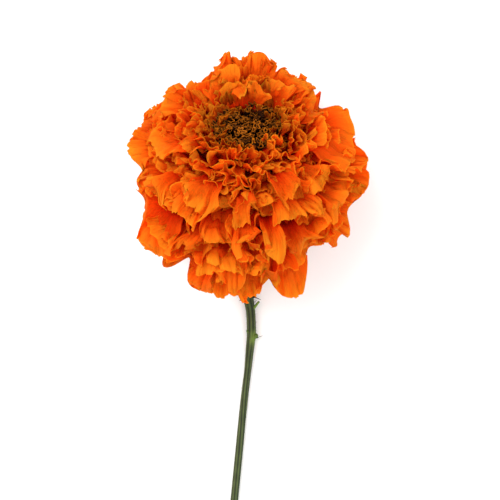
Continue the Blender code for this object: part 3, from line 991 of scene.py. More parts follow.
@dataclass
class RayFlorets:
    """All the petals: a golden-angle spiral of folded limbs, each on a narrow claw out of the receptacle."""

    head: Head
    finish: bpy.types.Material
    thickness: float = 0.22 * MM
    margin_thickness: float = 0.35  # of the thickness
    margin_run: float = 2 * MM  # over which a petal thins towards its margin
    sharp: float = math.radians(60)  # the angle between two faces from which their edge stays sharp
    seed: int = 23
    claw_width: float = 0.14  # of the limb's width
    claw_length: float = 0.15  # of the floret's length
    claw_depth: float = 1.5 * MM  # sunk in the receptacle
    lowest_root: float = math.radians(157)  # the claws' polar angle at the calyx's rim
    leaving: float = 0.9  # how straight a floret leaves its root, and comes to its tip
    landing: float = 1.3
    widening: float = 0.8  # power of the share of the limb by which it widens from its claw
    corners: float = 0.2  # share of the limb over which its sides draw in towards the tip
    drawn_in: float = 0.1  # share of the width by which they do
    rounding: float = 0.1  # share of the length by which the tip's own corners fall back
    notches: float = 7.0  # waves of the tip's line from side to side, in radians
    teeth: float = 17.0
    fine_teeth: float = 37.0
    tooth_patches: float = 4.0  # and those that make the fine teeth come and go
    wander: float = 0.9  # how unevenly folds and frills are spaced, in radians
    fold_slant: float = 0.8  # how far folds drift sideways up the limb, in radians
    sides_from: float = 0.35  # share of the limb from which its sides fall back as a fan's do
    dents: int = 4  # waves that add up to the crumple of one limb
    dent_run: float = 3.8  # of the finest of them, in millimetres
    dent_growth: float = 2.4  # and by how much each is longer than the last
    dent_heights: tuple[float, float] = (0.45, 0.25)  # shares of the crumple: the finest's, and the gain
    sharpness: float = 0.97  # how near its ridges come to straight creases
    ridge: float = 1.3  # height of such a ridge, against a wave's
    ruffle_run: float = 6.5 * MM  # of the waves down a limb's two sides
    ruffle_height: float = 0.9 * MM
    ruffle_slant: float = 2.2
    pleat_run: float = 2.7 * MM  # of the fine pleats that fan out from the claw
    pleat_depth: float = 0.45  # their steepest slope, in radians
    fullest: float = 0.36  # the least that a ruffled margin's width may be, as a share of its length
    flutter_waves: float = 2.2  # of the margin's flutter from side to side, in radians
    flutter_drop: float = 0.4  # how far that flutter moves the limb along the axis
    row_power: float = 0.85  # below 1, so that rows lie closer together towards the tip

    def flat_blade(self, sizes: Blade) -> bpy.types.Object:
        """Models the flat petal that florets are copied from: a thin closed slab, 2 wide and 2 long.

        Args:
            sizes: the blade's sizes.

        Returns:
            The blade.
        """
        bpy.ops.object.select_all(action="DESELECT")
        bpy.ops.mesh.primitive_grid_add(x_subdivisions=sizes.columns, y_subdivisions=sizes.rows, size=2)
        # This wall only tells the two faces apart: each copy gets its own thickness.
        blade = applied(added("flat_blade"), "SOLIDIFY", thickness=0.1, offset=0)
        # A petal is thin to its very edge, so its faces mustn't be shaded as if they rolled over there.
        bpy.ops.object.mode_set(mode="EDIT")
        bpy.ops.mesh.select_mode(type="EDGE")
        bpy.ops.mesh.select_all(action="DESELECT")
        bpy.ops.mesh.edges_select_sharp(sharpness=self.sharp)
        bpy.ops.mesh.mark_sharp()
        bpy.ops.object.mode_set(mode="OBJECT")
        return blade

    def florets(self, ring: Ring) -> Iterator[Floret]:
        """Draws a ring's florets, outermost first.

        Args:
            ring: which ring.

        Yields:
            Each floret.
        """
        sizes = RINGS[ring]
        rng = np.random.default_rng((self.seed, list(Ring).index(ring)))
        outer, inner = (math.radians(angle) for angle in sizes.polar)
        turn = Matrix.Rotation(self.head.lean, 3, "X")
        fan_ways = [
            (np.array((turn @ Vector(fan.tip)).normalized()), 0.5 * fan.width * MM / self.head.radius)
            for fan in FANS
        ]
        # Even spacing over the head: the cosine of the polar angle grows evenly.
        for i, share in enumerate((np.arange(sizes.count) + 0.5) / sizes.count):
            polar = math.acos(math.cos(outer) + (math.cos(inner) - math.cos(outer)) * share)
            polar += math.radians(sizes.jitter) * rng.uniform(-1, 1)
            azimuth = i * GOLDEN_ANGLE + rng.uniform(-sizes.turn, sizes.turn)
            out = math.sin(polar)
            way = np.array([out * math.cos(azimuth), out * math.sin(azimuth), math.cos(polar)])
            # The rings give way to the fans, which lie over them.
            crowding = max(
                math.exp(-((math.acos(min(1.0, float(way @ fan_way))) / spread) ** 2))
                for fan_way, spread in fan_ways
            )
            width = rng.uniform(*sizes.width)
            closed = 1 - sizes.opening * (0.5 + 0.5 * math.sin(azimuth))
            low, high = sizes.reflex
            yield Floret(
                azimuth=azimuth,
                polar=polar,
                reach=float(self.head.reach(way))
                * rng.uniform(*sizes.reach)
                * (1 - sizes.giving_way * crowding),
                width=width,
                # Most limbs stand up, and a few flop right over.
                tip_angle=polar + math.radians(low + (high - low) * rng.uniform() ** sizes.upright),
                root_polar=min(polar * rng.uniform(*sizes.root), self.lowest_root),
                sway=sizes.sway * rng.uniform(-1, 1),
                roll=math.radians(sizes.roll) * rng.uniform(-1, 1),
                cup=rng.uniform(-sizes.cup, sizes.cup),
                folds=width / rng.uniform(*sizes.fold_run) / closed,
                fold_depth=rng.uniform(*sizes.fold_depth) * closed,
                frills=width / sizes.frill_run * rng.uniform(*sizes.frill_share),
                frill_depth=sizes.frill_depth * rng.uniform(*sizes.frill_depth_share),
                crumple=sizes.crumple * rng.uniform(*sizes.crumple_share),
                phases=rng.uniform(0, 2 * math.pi, 6 + 2 * self.dents),
                flutter=rng.uniform(*sizes.flutter),
                notch=rng.uniform(*sizes.notch),
                tone=rng.uniform(0, 1),
                browning=sizes.browning[0] + (sizes.browning[1] - sizes.browning[0]) * share**2,
            )

    def fans(self) -> Iterator[Floret]:
        """Draws the broad open florets that have places of their own.

        Yields:
            Each floret.
        """
        sizes = FAN_SIZES
        rng = np.random.default_rng(self.seed)
        turn = Matrix.Rotation(self.head.lean, 3, "X")
        for fan in FANS:
            tip = turn @ Vector(fan.tip) * MM
            azimuth = math.atan2(tip.y, tip.x)
            polar = math.acos(tip.z / tip.length)
            # The angle from the axis at which this floret would lie level.
            level = math.atan2(math.cos(self.head.lean), math.sin(azimuth) * math.sin(self.head.lean))
            yield Floret(
                azimuth=azimuth,
                polar=polar,
                reach=tip.length,
                width=sizes.fullness * fan.width * MM,
                tip_angle=level + math.radians(fan.droop),
                root_polar=polar * fan.root,
                sway=rng.uniform(*sizes.sway),
                roll=math.radians(fan.roll + rng.uniform(*sizes.roll)),
                cup=fan.cup,
                folds=fan.width / fan.fold_run,
                fold_depth=sizes.folding * fan.fold_depth,
                frills=fan.width / sizes.frill_run * rng.uniform(*sizes.frill_share),
                frill_depth=rng.uniform(*sizes.frill_depth),
                crumple=sizes.crumple,
                phases=rng.uniform(0, 2 * math.pi, 6 + 2 * self.dents),
                flutter=rng.uniform(*sizes.flutter),
                notch=rng.uniform(*sizes.notch),
                tone=fan.tone,
                browning=0.0,
            )

    def spine(self, floret: Floret, u: np.ndarray) -> tuple[np.ndarray, np.ndarray]:
        """Bends the floret's middle line from the receptacle out to its tip, in the plane through the axis.

        Args:
            floret: the floret.
            u: how far along, from 0 to 1.

        Returns:
            The line's places as (outward, upward) pairs, and its direction as an angle from the axis.
        """
        skin = self.head.core_skin(floret.root_polar) - self.claw_depth
        root_way, tip_way, end_way = (
            np.array([math.sin(angle), math.cos(angle)])
            for angle in (floret.root_polar, floret.polar, floret.tip_angle)
        )
        root = skin * root_way
        tip = floret.reach * tip_way
        span = np.linalg.norm(tip - root)
        leaving = span * self.leaving * root_way
        landing = span * self.landing * end_way
        u = u[:, None]
        # A cubic curve that starts and ends along those two directions, and its own direction.
        line = (
            (2 * u**3 - 3 * u**2 + 1) * root
            + (u**3 - 2 * u**2 + u) * leaving
            + (3 * u**2 - 2 * u**3) * tip
            + (u**3 - u**2) * landing
        )
        way = (
            (6 * u**2 - 6 * u) * root
            + (3 * u**2 - 4 * u + 1) * leaving
            + (6 * u - 6 * u**2) * tip
            + (3 * u**2 - 2 * u) * landing
        )
        return line, np.unwrap(np.arctan2(way[:, 0], way[:, 1]))

    def margin_line(self, floret: Floret, v: np.ndarray) -> np.ndarray:
        """Draws the line of a limb's tip: rounded corners, and shallow uneven notches between them.

        Args:
            floret: the floret.
            v: how far across, from -1 to 1.

        Returns:
            How far the tip reaches past the limb's length at each, as a share of it.
        """
        p = floret.phases
        fine = np.sin(self.fine_teeth * v + p[2]) * np.sin(self.tooth_patches * v + p[4])
        teeth = 0.5 * np.sin(self.teeth * v + p[1]) + 0.6 * fine
        notches = 0.1 + 0.5 * np.sin(self.notches * v + p[0]) + 0.5 * teeth
        return -self.rounding * v**6 - floret.notch * notches

    def slopes(self, floret: Floret, limb: np.ndarray, v: np.ndarray) -> np.ndarray:
        """Folds a limb across: deep folds, with frills near the margin, and fine pleats from the claw.

        Args:
            floret: the floret.
            limb: how far up the limb, from 0 to 1, as a column.
            v: how far across, from -1 to 1, as a row.

        Returns:
            The face's slope across the limb at each place, in radians.
        """
        p = floret.phases
        unevenly = self.wander * np.sin(2.6 * v + p[4]) + self.fold_slant * (limb - 0.5)
        folds = np.sin(math.pi * floret.folds * v + p[3] + unevenly)
        frills = np.sin(math.pi * floret.frills * v + p[5] + self.wander * np.sin(3.1 * v + p[2]))
        pleats = np.sin(math.pi * floret.width / self.pleat_run * v + p[4] + np.sin(5 * v))
        return (
            floret.cup * v * limb
            + floret.fold_depth * limb**1.2 * folds
            + floret.frill_depth * limb**2.5 * frills
            + self.pleat_depth * limb**2 * pleats
        )

    def surface(self, floret: Floret, rows: int, columns: int) -> tuple[np.ndarray, np.ndarray]:
        """Shapes one floret's middle surface in the head's frame.

        Args:
            floret: the floret.
            rows: how many strips it has from root to tip.
            columns: how many strips it has across.

        Returns:
            The places, rows by columns by 3, and each one's distance to the limb's margin.
        """
        u = self.shares(rows)
        v = np.linspace(-1, 1, columns + 1)
        line, angle = self.spine(floret, u)
        span = np.linalg.norm(np.diff(line, axis=0), axis=1).sum()
        reach = self.margin_line(floret, v)
        u, v = u[:, None], v[None, :]
        limb = np.clip((u - self.claw_length) / (1 - self.claw_length), 0, 1)
        # A limb is a fan: it widens soon after its claw, and only its corners are rounded off.
        spread = self.claw_width + (1 - self.claw_width) * limb**self.widening
        cornered = np.clip((limb - (1 - self.corners)) / self.corners, 0, 1)
        spread = spread * (1 - self.drawn_in * cornered**2)
        slope = self.slopes(floret, limb, v)
        # The more a limb is ruffled there, the longer its margin is, so that it still fills its width.
        filled = np.maximum(np.cos(slope).mean(axis=1, keepdims=True), self.fullest)
        step = spread * floret.width / columns / filled
        side = self.running(np.cos(slope), step)
        dents = self.crumpled(floret, u * span, v * floret.width / 2)
        lift = self.running(np.sin(slope), step) + dents * limb
        # Every part of the margin is as far from the claw, so what spreads sideways falls back.
        stretch = span * reach * limb - side**2 / (2 * span * np.maximum(limb, self.sides_from))
        p = floret.phases
        ruffle = np.sin(2 * math.pi * u * span / self.ruffle_run + p[2] + self.ruffle_slant * v)
        lift = lift + self.ruffle_height * ruffle * np.abs(v) ** 4 * limb
        turn = floret.roll * limb
        side, lift = side * np.cos(turn) - lift * np.sin(turn), side * np.sin(turn) + lift * np.cos(turn)
        side = side + floret.sway * span * limb**2
        # The tip's reach and the edge's flutter bend the limb along its own direction.
        flutter = floret.flutter * np.sin(self.flutter_waves * v + p[0]) * limb**2
        angle = angle[:, None] + flutter
        outward = line[:, :1] + stretch * np.sin(angle) - lift * np.cos(angle)
        upward = line[:, 1:] + stretch * np.cos(angle) + lift * np.sin(angle)
        upward = upward - self.flutter_drop * span * flutter * limb
        # The claw has no margin of its own, so its sides count as far from one.
        to_side = (1 - np.abs(v)) * spread * floret.width / 2 + (1 - limb)
        margin = np.minimum((1 - u) * span + 0 * v, to_side)
        c, s = math.cos(floret.azimuth), math.sin(floret.azimuth)
        return np.stack([outward * c - side * s, outward * s + side * c, upward], axis=-1), margin

    def crumpled(self, floret: Floret, along: np.ndarray, across: np.ndarray) -> np.ndarray:
        """Dents a limb's face broadly and shallowly.

        Args:
            floret: the floret.
            along: how far up the limb, as a length.
            across: how far from its middle line, as a length.

        Returns:
            The height at each place.
        """
        height = 0.0
        least, gain = self.dent_heights
        for i in range(self.dents):
            heading, phase = floret.phases[6 + 2 * i : 8 + 2 * i]
            wave = 2 * math.pi / ((self.dent_run + self.dent_growth * i) * MM)
            swing = np.sin(wave * (along * math.cos(heading) + across * math.sin(heading)) + phase)
            # Creased rather than wavy: each wave is drawn towards straight flanks with sharp ridges.
            height = height + (least + gain * i) * np.arcsin(self.sharpness * swing) / self.ridge
        return floret.crumple * height / math.sqrt(self.dents)

    def shares(self, rows: int) -> np.ndarray:
        """Returns how far along a floret its rows are, closer together towards the tip."""
        return np.linspace(0, 1, rows + 1) ** self.row_power

    @staticmethod
    def running(rates: np.ndarray, step: np.ndarray) -> np.ndarray:
        """Sums rates across each row from the middle column out.

        Args:
            rates: the rates, row by row.
            step: each row's distance from column to column.

        Returns:
            The sums, which are 0 in the middle.
        """
        sums = np.cumsum((rates[:, 1:] + rates[:, :-1]) / 2, axis=1)
        total = np.concatenate([np.zeros((len(rates), 1)), sums], 1)
        return (total - total[:, total.shape[1] // 2, None]) * step

    def bent(self, blade: bpy.types.Object, floret: Floret, sizes: Blade, name: str) -> bpy.types.Object:
        """Copies the flat blade and bends the copy to one floret's shape.

        Args:
            blade: the flat blade.
            floret: the floret.
            sizes: the blade's sizes.
            name: the copy's name.

        Returns:
            The petal, in its place in the world.
        """
        petal = copy_of(blade, name)
        flat = coordinates(blade)
        row = np.rint((flat[:, 1] + 1) / 2 * sizes.rows).astype(int)
        column = np.rint((flat[:, 0] + 1) / 2 * sizes.columns).astype(int)
        face = np.sign(flat[:, 2])
        surface, margin = self.surface(floret, sizes.rows, sizes.columns)
        surface = placed(self.head.held_in(surface), self.head.matrix())
        surface = self.head.laid_down(surface, self.thickness)
        along = np.gradient(surface, axis=0)
        across = np.gradient(surface, axis=1)
        normal = np.cross(across, along)
        normal /= np.maximum(np.linalg.norm(normal, axis=-1, keepdims=True), TINY)
        least = self.margin_thickness
        thin = self.thickness / 2 * np.clip(least + margin / self.margin_run, least, 1)
        out = normal[row, column] * (face * thin[row, column])[:, None]
        set_coordinates(petal, surface[row, column] + out)
        low, high = sizes.reddening_and_shade
        limbward = np.clip((self.shares(sizes.rows)[row] - low) / (high - low), 0, 1)
        set_attribute(petal, "limbward", limbward**2 * (3 - 2 * limbward))
        set_attribute(petal, "margin", margin[row, column])
        set_attribute(petal, "edging", np.clip(1 - margin[row, column] / sizes.edge_width, 0, 1))
        set_attribute(petal, "tone", floret.tone)
        # The blade's upper side ends up facing away from the head's axis.
        set_attribute(petal, "back", (face > 0).astype(float))
        set_attribute(petal, "browning", floret.browning)
        return petal

    def petals(self, name: str, sizes: Blade, florets: Iterator[Floret]) -> bpy.types.Object:
        """Models one set of petals.

        Args:
            name: the set's name.
            sizes: the sizes of the blade that they're copied from.
            florets: the florets of the set.

        Returns:
            The set as one object, dressed.
        """
        blade = self.flat_blade(sizes)
        petals = [self.bent(blade, floret, sizes, f"{name}_{i}") for i, floret in enumerate(florets)]
        bpy.data.objects.remove(blade)
        return dressed(joined(petals, name), self.finish, "ray_florets")

    def build(self) -> list[bpy.types.Object]:
        """Models the four rings, and then the fans.

        Returns:
            The five sets of petals.
        """
        rings = [
            self.petals(f"petals_{ring.value}", RINGS[ring].blade, self.florets(ring)) for ring in Ring
        ]
        return rings + [self.petals("petals_fans", FAN_SIZES.blade, self.fans())]


@dataclass
class Receptacle:
    """What the petals stand on, which shows only as a warm red ground between their claws."""

    head: Head
    finish: bpy.types.Material
    segments: int = 48
    rings: int = 24
    seat: float = 20.0 * MM  # of the disc, above the head's middle
    limbward: float = 0.6  # how far its colour is from the throat's red, partly painted shade, to the limb's orange

    def build(self) -> list[bpy.types.Object]:
        """Models the receptacle as a rounded body with a flat seat for the disc.

        Returns:
            The receptacle, dressed.
        """
        bpy.ops.object.select_all(action="DESELECT")
        bpy.ops.mesh.primitive_uv_sphere_add(segments=self.segments, ring_count=self.rings, radius=1)
        core = added("petals_receptacle")
        places = coordinates(core)
        places *= self.head.core_skin(np.arccos(np.clip(places[:, 2:], -1, 1)))
        places[:, 2] = np.minimum(places[:, 2], self.seat)
        set_coordinates(core, placed(places, self.head.matrix()))
        for name, value in (("tone", 0), ("edging", 0), ("back", 0), ("margin", 1)):
            set_attribute(core, name, value)
        set_attribute(core, "limbward", self.limbward)
        set_attribute(core, "browning", np.clip(places[:, 2] / self.seat, 0, 1) ** 2)
        bpy.ops.object.shade_smooth()
        return [dressed(core, self.finish, "ray_florets")]


# ---------------------------------------------------------------- the disc


@dataclass
class DiscFlorets:
    """The tube florets in the middle, in a spiral on a shallow dish, each with a curled five-part lip."""

    head: Head
    count: int = 165
    radius: float = 14.4 * MM
    seat: float = 20.3 * MM  # above the head's middle
    tube_radius: float = 1.1 * MM
    tube_wall: float = 0.15  # of its radius
    width_share: tuple[float, float] = (0.7, 1.1)
    height: float = 4.6  # of a tube in the disc's middle, in millimetres
    rise: float = 1.8  # how much taller the outermost tubes are
    unevenness: tuple[float, float] = (-1.6, 1.8)  # of their heights
    flare: tuple[float, float, float] = (0.55, 0.4, 0.15)  # the radius at the foot, up the tube, at the lip
    # The lip's waves: how many go round it, and how deep they are.
    waves: tuple[tuple[int, float], ...] = ((5, 0.36), (3, 0.3), (2, 0.3))
    curl: tuple[float, float] = (0.1, 0.5)  # how far a lip turns up and down, as a share of the radius
    curls: int = 3  # how many times it does so round the lip
    lean: float = 0.16
    palest: float = 0.85  # how amber a lip gets
    sides: int = 20
    rings: int = 5
    dish_share: float = 0.95  # of the disc's radius
    dish_depth: float = 1.2 * MM
    dish_sides: int = 40
    seed: int = 4

    def build(self) -> list[bpy.types.Object]:
        """Models the whole disc.

        Returns:
            The disc as one object, dressed.
        """
        rng = np.random.default_rng(self.seed)
        tube = straight_tube("disc_tube", self.sides, self.rings)
        applied(tube, "SOLIDIFY", thickness=self.tube_wall, offset=-1)
        flat = coordinates(tube)
        height = flat[:, 2]
        around = np.arctan2(flat[:, 1], flat[:, 0])
        wall = np.hypot(flat[:, 0], flat[:, 1])
        foot, up, lip = self.flare
        pieces = [self.dish()]
        for i in range(self.count):
            share = (i + 0.5) / self.count
            out = (self.radius - self.tube_radius) * math.sqrt(share)
            angle = i * GOLDEN_ANGLE
            tall = (self.height + self.rise * share**2 + rng.uniform(*self.unevenness)) * MM
            wide = self.tube_radius * rng.uniform(*self.width_share)
            waves = sum(depth * np.sin(count * around + rng.uniform(0, 6)) for count, depth in self.waves)
            radius = wall * wide * (foot + up * height + lip * height**4) * (1 + waves * height**3)
            curl = rng.uniform(*self.curl) * wide
            curl = curl * np.sin(self.curls * around + rng.uniform(0, 6)) * height**5
            lean = rng.normal(0, self.lean, 2)
            places = np.stack(
                [radius * np.cos(around), radius * np.sin(around), height * tall + curl], axis=1
            )
            places[:, :2] += lean * (height * tall)[:, None]
            places += (out * math.cos(angle), out * math.sin(angle), self.seat)
            twin = copy_of(tube, f"tube_{i}")
            set_coordinates(twin, places)
            set_attribute(twin, "height", height)
            set_attribute(twin, "tone", rng.uniform(0.0, self.palest))
            pieces.append(twin)
        bpy.data.objects.remove(tube)
        disc = joined(pieces, "disc")
        set_coordinates(disc, placed(coordinates(disc), self.head.matrix()))
        return [dressed(disc, DiscFinish().material(), "disc_florets")]

    def dish(self) -> bpy.types.Object:
        """Models the shallow dish that the tubes stand on.

        Returns:
            The dish, in the head's own frame.
        """
        bpy.ops.object.select_all(action="DESELECT")
        bpy.ops.mesh.primitive_cylinder_add(
            vertices=self.dish_sides,
            radius=self.radius * self.dish_share,
            depth=self.dish_depth,
            location=(0, 0, self.seat + self.dish_depth / 2),
        )
        dish = added("disc_dish")
        bpy.ops.object.transform_apply(location=True, rotation=True, scale=True)
        # The dish takes the pit's painted shade.
        set_attribute(dish, "height", 0.0)
        set_attribute(dish, "tone", 0.0)
        return dish


# ---------------------------------------------------------------- the calyx


@dataclass
class Calyx:
    """The cup of fused bracts: eight ribs, each ending in a tooth, on a narrowing foot."""

    head: Head
    rim: float = 26.5 * MM  # below the head's middle
    foot: float = 39.5 * MM
    radius: float = 8.5 * MM
    foot_radius: float = 3.3 * MM
    belly: float = 0.8  # below 1, the cup fills out sooner above its foot
    mouth: float = 0.35  # of the foot's radius, where the cup is drawn in round the stem
    wall: float = 0.6 * MM
    ribs: int = 8
    rib_height: float = 0.045  # as a share of the cup's radius
    groove: float = -0.6  # how deep its grooves are, where a rib's own height is 1
    tooth: float = 2.2 * MM
    steps: int = 96
    levels: int = 20

    def build(self) -> list[bpy.types.Object]:
        """Models the cup from an open cylinder, then gives it its wall.

        Returns:
            The cup, dressed.
        """
        cup = straight_tube("calyx_cup", self.steps, self.levels)
        places = coordinates(cup)
        share = places[:, 2]
        around = np.arctan2(places[:, 1], places[:, 0])
        rib = np.cos(self.ribs * around)
        belly = np.sin(math.pi / 2 * share) ** self.belly
        swell = self.foot_radius + (self.radius - self.foot_radius) * belly
        # The ribs fade out at both ends.
        fading = np.sin(math.pi * np.clip(share, 0.05, 0.95))
        radius = swell * (1 + self.rib_height * np.clip(rib, self.groove, 1) * fading)
        at_foot = share < 0.5 / self.levels
        radius = np.where(at_foot, swell * self.mouth, radius)
        height = -self.foot + (self.foot - self.rim) * share + self.tooth * share**6 * (rib - 1) / 2
        spread = np.stack([radius * np.cos(around), radius * np.sin(around), height], axis=1)
        set_coordinates(cup, placed(spread, self.head.neck()))
        # The material paints shade in the grooves and a partly painted highlight on the ridges.
        set_attribute(cup, "rib", np.clip(0.5 + 0.5 * rib, 0, 1))
        set_attribute(cup, "flush", np.clip(1.2 * share - 0.5, 0, 1))
        set_attribute(cup, "fresh", np.clip(0.5 * share, 0, 1))
        set_attribute(cup, "straight", np.stack([places[:, 0] * swell, places[:, 1] * swell, height], axis=1))
        applied(cup, "SOLIDIFY", thickness=self.wall, offset=-1)
        bpy.ops.object.shade_smooth()
        return [dressed(cup, CALYX_LEAF.material(), "calyx")]


# ---------------------------------------------------------------- the stem


@dataclass(frozen=True)
class Shoot:
    """Something short that grows out of the stem: a leaf stump, a bract or a dried vein."""

    name: str
    distance: float  # from under the head's middle, along the stem's run
    direction: tuple[float, float, float]
    length: float
    base: float
    tip: float
    bow: float = 0.0  # how far it curves up towards its tip
    rib: float = 0.5
    fresh: float = 0.0  # how light a green it is


@dataclass
class Stem:
    """The ribbed stem along the CAD solid's route, with its leaf stumps, bracts and hairs."""

    head: Head
    top: float = 38.7 * MM  # below the head's middle, along its axis, inside the calyx's foot
    square_run: float = 3.7 * MM
    top_radius: float = 2.9  # in millimetres
    # Each point from under the head's middle, with the stem's radius there, in millimetres.
    route: tuple[tuple[tuple[float, float, float], float], ...] = (
        ((0.1, -32.0, 4.3), 2.75),
        ((0.4, -40.0, 2.8), 2.45),
        ((0.9, -47.5, 2.3), 2.1),
        ((1.8, -53.0, 1.95), 1.85),
        ((2.1, -61.5, 1.85), 1.85),
        ((1.5, -68.0, 1.75), 1.7),
        ((0.6, -77.0, 1.6), 1.45),
        ((-0.6, -87.0, 1.55), 1.5),
        ((-2.9, -110.0, 1.55), 1.55),
        ((-6.6, -148.0, 1.6), 1.55),
    )
    ribs: int = 7
    rib_depth: float = 0.13  # as a share of the radius
    # How far the ribs wander round the stem, in radians, and how fast they do down its length.
    wander: tuple[tuple[float, float], ...] = ((0.35, 5), (0.12, 17))
    sides: int = 56
    levels: int = 170
    route_steps: int = 400
    node: float = 63.5 * MM  # distance of the leaf node from under the head's middle
    node_run: float = 2.6 * MM  # how far the node's fresher green reaches up and down
    node_green: float = 0.75
    shoot_sides: int = 12
    shoot_bends: int = 7
    hairs: int = 260
    hair_radius: float = 0.05 * MM
    hair_length: tuple[float, float] = (0.4, 1.0)  # in millimetres
    hair_steps: tuple[int, int, int] = (60, 150, 340)  # of the route: the first hair's, the most, the last
    hair_turn: float = 0.1  # how far below the stem's sides hairs still grow, in radians
    hair_lean: tuple[float, float] = (-0.6, 0.8)  # along the stem, where it stands out by 1
    hair_root: float = 0.9  # of the stem's radius
    seed: int = 8
    shoots: tuple[Shoot, ...] = (
        Shoot("left_bract", 48.6 * MM, (-1.0, 0.02, 0.25), 3.9 * MM, 0.62 * MM, 0.06 * MM, 0.4 * MM, 0.1),
        Shoot("right_bract", 46.2 * MM, (1.0, -0.42, 0.6), 6.4 * MM, 0.4 * MM, 0.05 * MM, 0.6 * MM, 0.0),
        Shoot("right_nub", 47.0 * MM, (0.9, -0.1, 0.5), 3.2 * MM, 0.6 * MM, 0.35 * MM, 0.0, 0.0),
        Shoot("upper_vein", 50.5 * MM, (1.0, 0.7, 0.4), 3.6 * MM, 0.14 * MM, 0.05 * MM, 0.3 * MM, 0.0),
        Shoot("upper_stump", 53.4 * MM, (0.62, 0.8, 0.3), 5.6 * MM, 0.7 * MM, 0.42 * MM, 0.5 * MM, 0.6, 0.8),
        Shoot("left_stump", 63.6 * MM, (-0.5, 1.0, 0.3), 3.7 * MM, 0.8 * MM, 0.45 * MM, 0.4 * MM, 0.5, 0.35),
        Shoot("right_stump", 65.0 * MM, (0.75, 0.8, 0.35), 3.9 * MM, 1.1 * MM, 0.65 * MM, 0.3 * MM, 0.5, 0.5),
        Shoot("right_scale", 64.0 * MM, (1.0, 0.25, 0.4), 3.1 * MM, 0.6 * MM, 0.3 * MM, 0.2 * MM, 0.2, 0.25),
        Shoot("lower_vein", 64.3 * MM, (1.0, 0.35, 0.45), 5.4 * MM, 0.16 * MM, 0.05 * MM, 0.5 * MM, 0.0),
    )

    def centres(self, count: int) -> tuple[np.ndarray, np.ndarray]:
        """Reads the smooth route at even shares of its points.

        Args:
            count: how many places.

        Returns:
            The places in the world, and the stem's radius at each.
        """
        matrix = self.head.neck()
        # It leaves the calyx square to its foot, and then follows the points.
        leaving = [matrix @ Vector((0, 0, -self.top)), matrix @ Vector((0, 0, -self.top - self.square_run))]
        base = Vector((matrix.translation.x, matrix.translation.y, 0))
        places = np.array(leaving + [base + Vector(place) * MM for place, _ in self.route])
        radii = np.array([self.top_radius] * 2 + [radius for _, radius in self.route]) * MM
        spans = len(places) - 1
        padded = np.concatenate([2 * places[:1] - places[1:2], places, 2 * places[-1:] - places[-2:-1]])
        t = np.linspace(0, spans, count)
        i = np.minimum(t.astype(int), spans - 1)
        f = (t - i)[:, None]
        a, b, c, d = (padded[i + k] for k in range(4))
        # A Catmull-Rom curve, which goes through every point of the route.
        square, cube = 2 * a - 5 * b + 4 * c - d, 3 * b - a - 3 * c + d
        smooth = 0.5 * (2 * b + (c - a) * f + square * f**2 + cube * f**3)
        return smooth, np.interp(t, np.arange(spans + 1), radii)

    @staticmethod
    def set_along(
        tube: bpy.types.Object, places: np.ndarray, radii: np.ndarray, size: np.ndarray | float = 1.0
    ) -> None:
        """Bends a straight tube along a route, and notes the unbent places for its fibres.

        Args:
            tube: the straight tube.
            places: the route.
            radii: the tube's radius at each place.
            size: by how much each vertex stands further out than the radius.
        """
        flat = coordinates(tube)
        run = np.concatenate([[0], np.cumsum(np.linalg.norm(np.diff(places, axis=0), axis=1))])
        at = flat[:, 2] * run[-1]
        centre, way = (
            np.stack([np.interp(at, run, rows[:, k]) for k in range(3)], axis=1)
            for rows in (places, np.gradient(places, run, axis=0))
        )
        way /= np.linalg.norm(way, axis=1, keepdims=True)
        # A route that runs straight up has no side of its own, so a little of +X goes in.
        right = np.cross(way, (0.0, 0.0, 1.0)) + (1e-6, 0, 0)
        right /= np.linalg.norm(right, axis=1, keepdims=True)
        up = np.cross(right, way)
        radius = (np.interp(at, run, radii) * size)[:, None]
        set_coordinates(tube, centre + (right * flat[:, :1] + up * flat[:, 1:2]) * radius)
        # Those sides turn the tube's cross-section into its mirror image, and so its faces inwards.
        tube.data.flip_normals()
        set_attribute(tube, "straight", np.concatenate([flat[:, :2] * radius, at[:, None]], axis=1))

    def stalk(self) -> bpy.types.Object:
        """Models the ribbed stalk, with its greener leaf node.

        Returns:
            The stalk.
        """
        stalk = straight_tube("stem_stalk", self.sides, self.levels, capped=True)
        flat = coordinates(stalk)
        around = np.arctan2(flat[:, 1], flat[:, 0])
        places, radii = self.centres(self.levels * 3)
        drift = sum(far * np.sin(speed * flat[:, 2]) for far, speed in self.wander)
        rib = np.abs(np.cos(self.ribs / 2 * (around + drift))) ** 0.8
        self.set_along(stalk, places, radii, 1 - self.rib_depth * (1 - rib))
        # The material paints shade in the grooves and a partly painted highlight on the ridges.
        set_attribute(stalk, "rib", rib)
        set_attribute(stalk, "flush", 0.5 + 0.5 * np.cos(around + 0.4))
        away = self.head.neck().translation.y - coordinates(stalk)[:, 1] - self.node
        near_node = np.exp(-((away / self.node_run) ** 2))
        one_side = np.clip(0.5 - 0.8 * np.cos(around), 0, 1)
        set_attribute(stalk, "fresh", self.node_green * near_node * one_side)
        return stalk

    def shoot(self, sizes: Shoot) -> bpy.types.Object:
        """Models one stump, bract or vein, from inside the stem out.

        Args:
            sizes: its sizes.

        Returns:
            The shoot.
        """
        places, _ = self.centres(self.route_steps)
        base = self.head.neck().translation
        start = Vector(places[np.argmin(np.abs(base.y - places[:, 1] - sizes.distance))])
        way = Vector(sizes.direction).normalized()
        shares = np.linspace(0, 1, self.shoot_bends)
        route = np.array([start + way * sizes.length * share for share in shares])
        route[:, 2] += sizes.bow * shares**2
        shoot = straight_tube(sizes.name, self.shoot_sides, 10, capped=True)
        self.set_along(shoot, route, np.linspace(sizes.base, sizes.tip, self.shoot_bends))
        for name, value in (("rib", sizes.rib), ("flush", 0.0), ("fresh", sizes.fresh)):
            set_attribute(shoot, name, value)
        return shoot

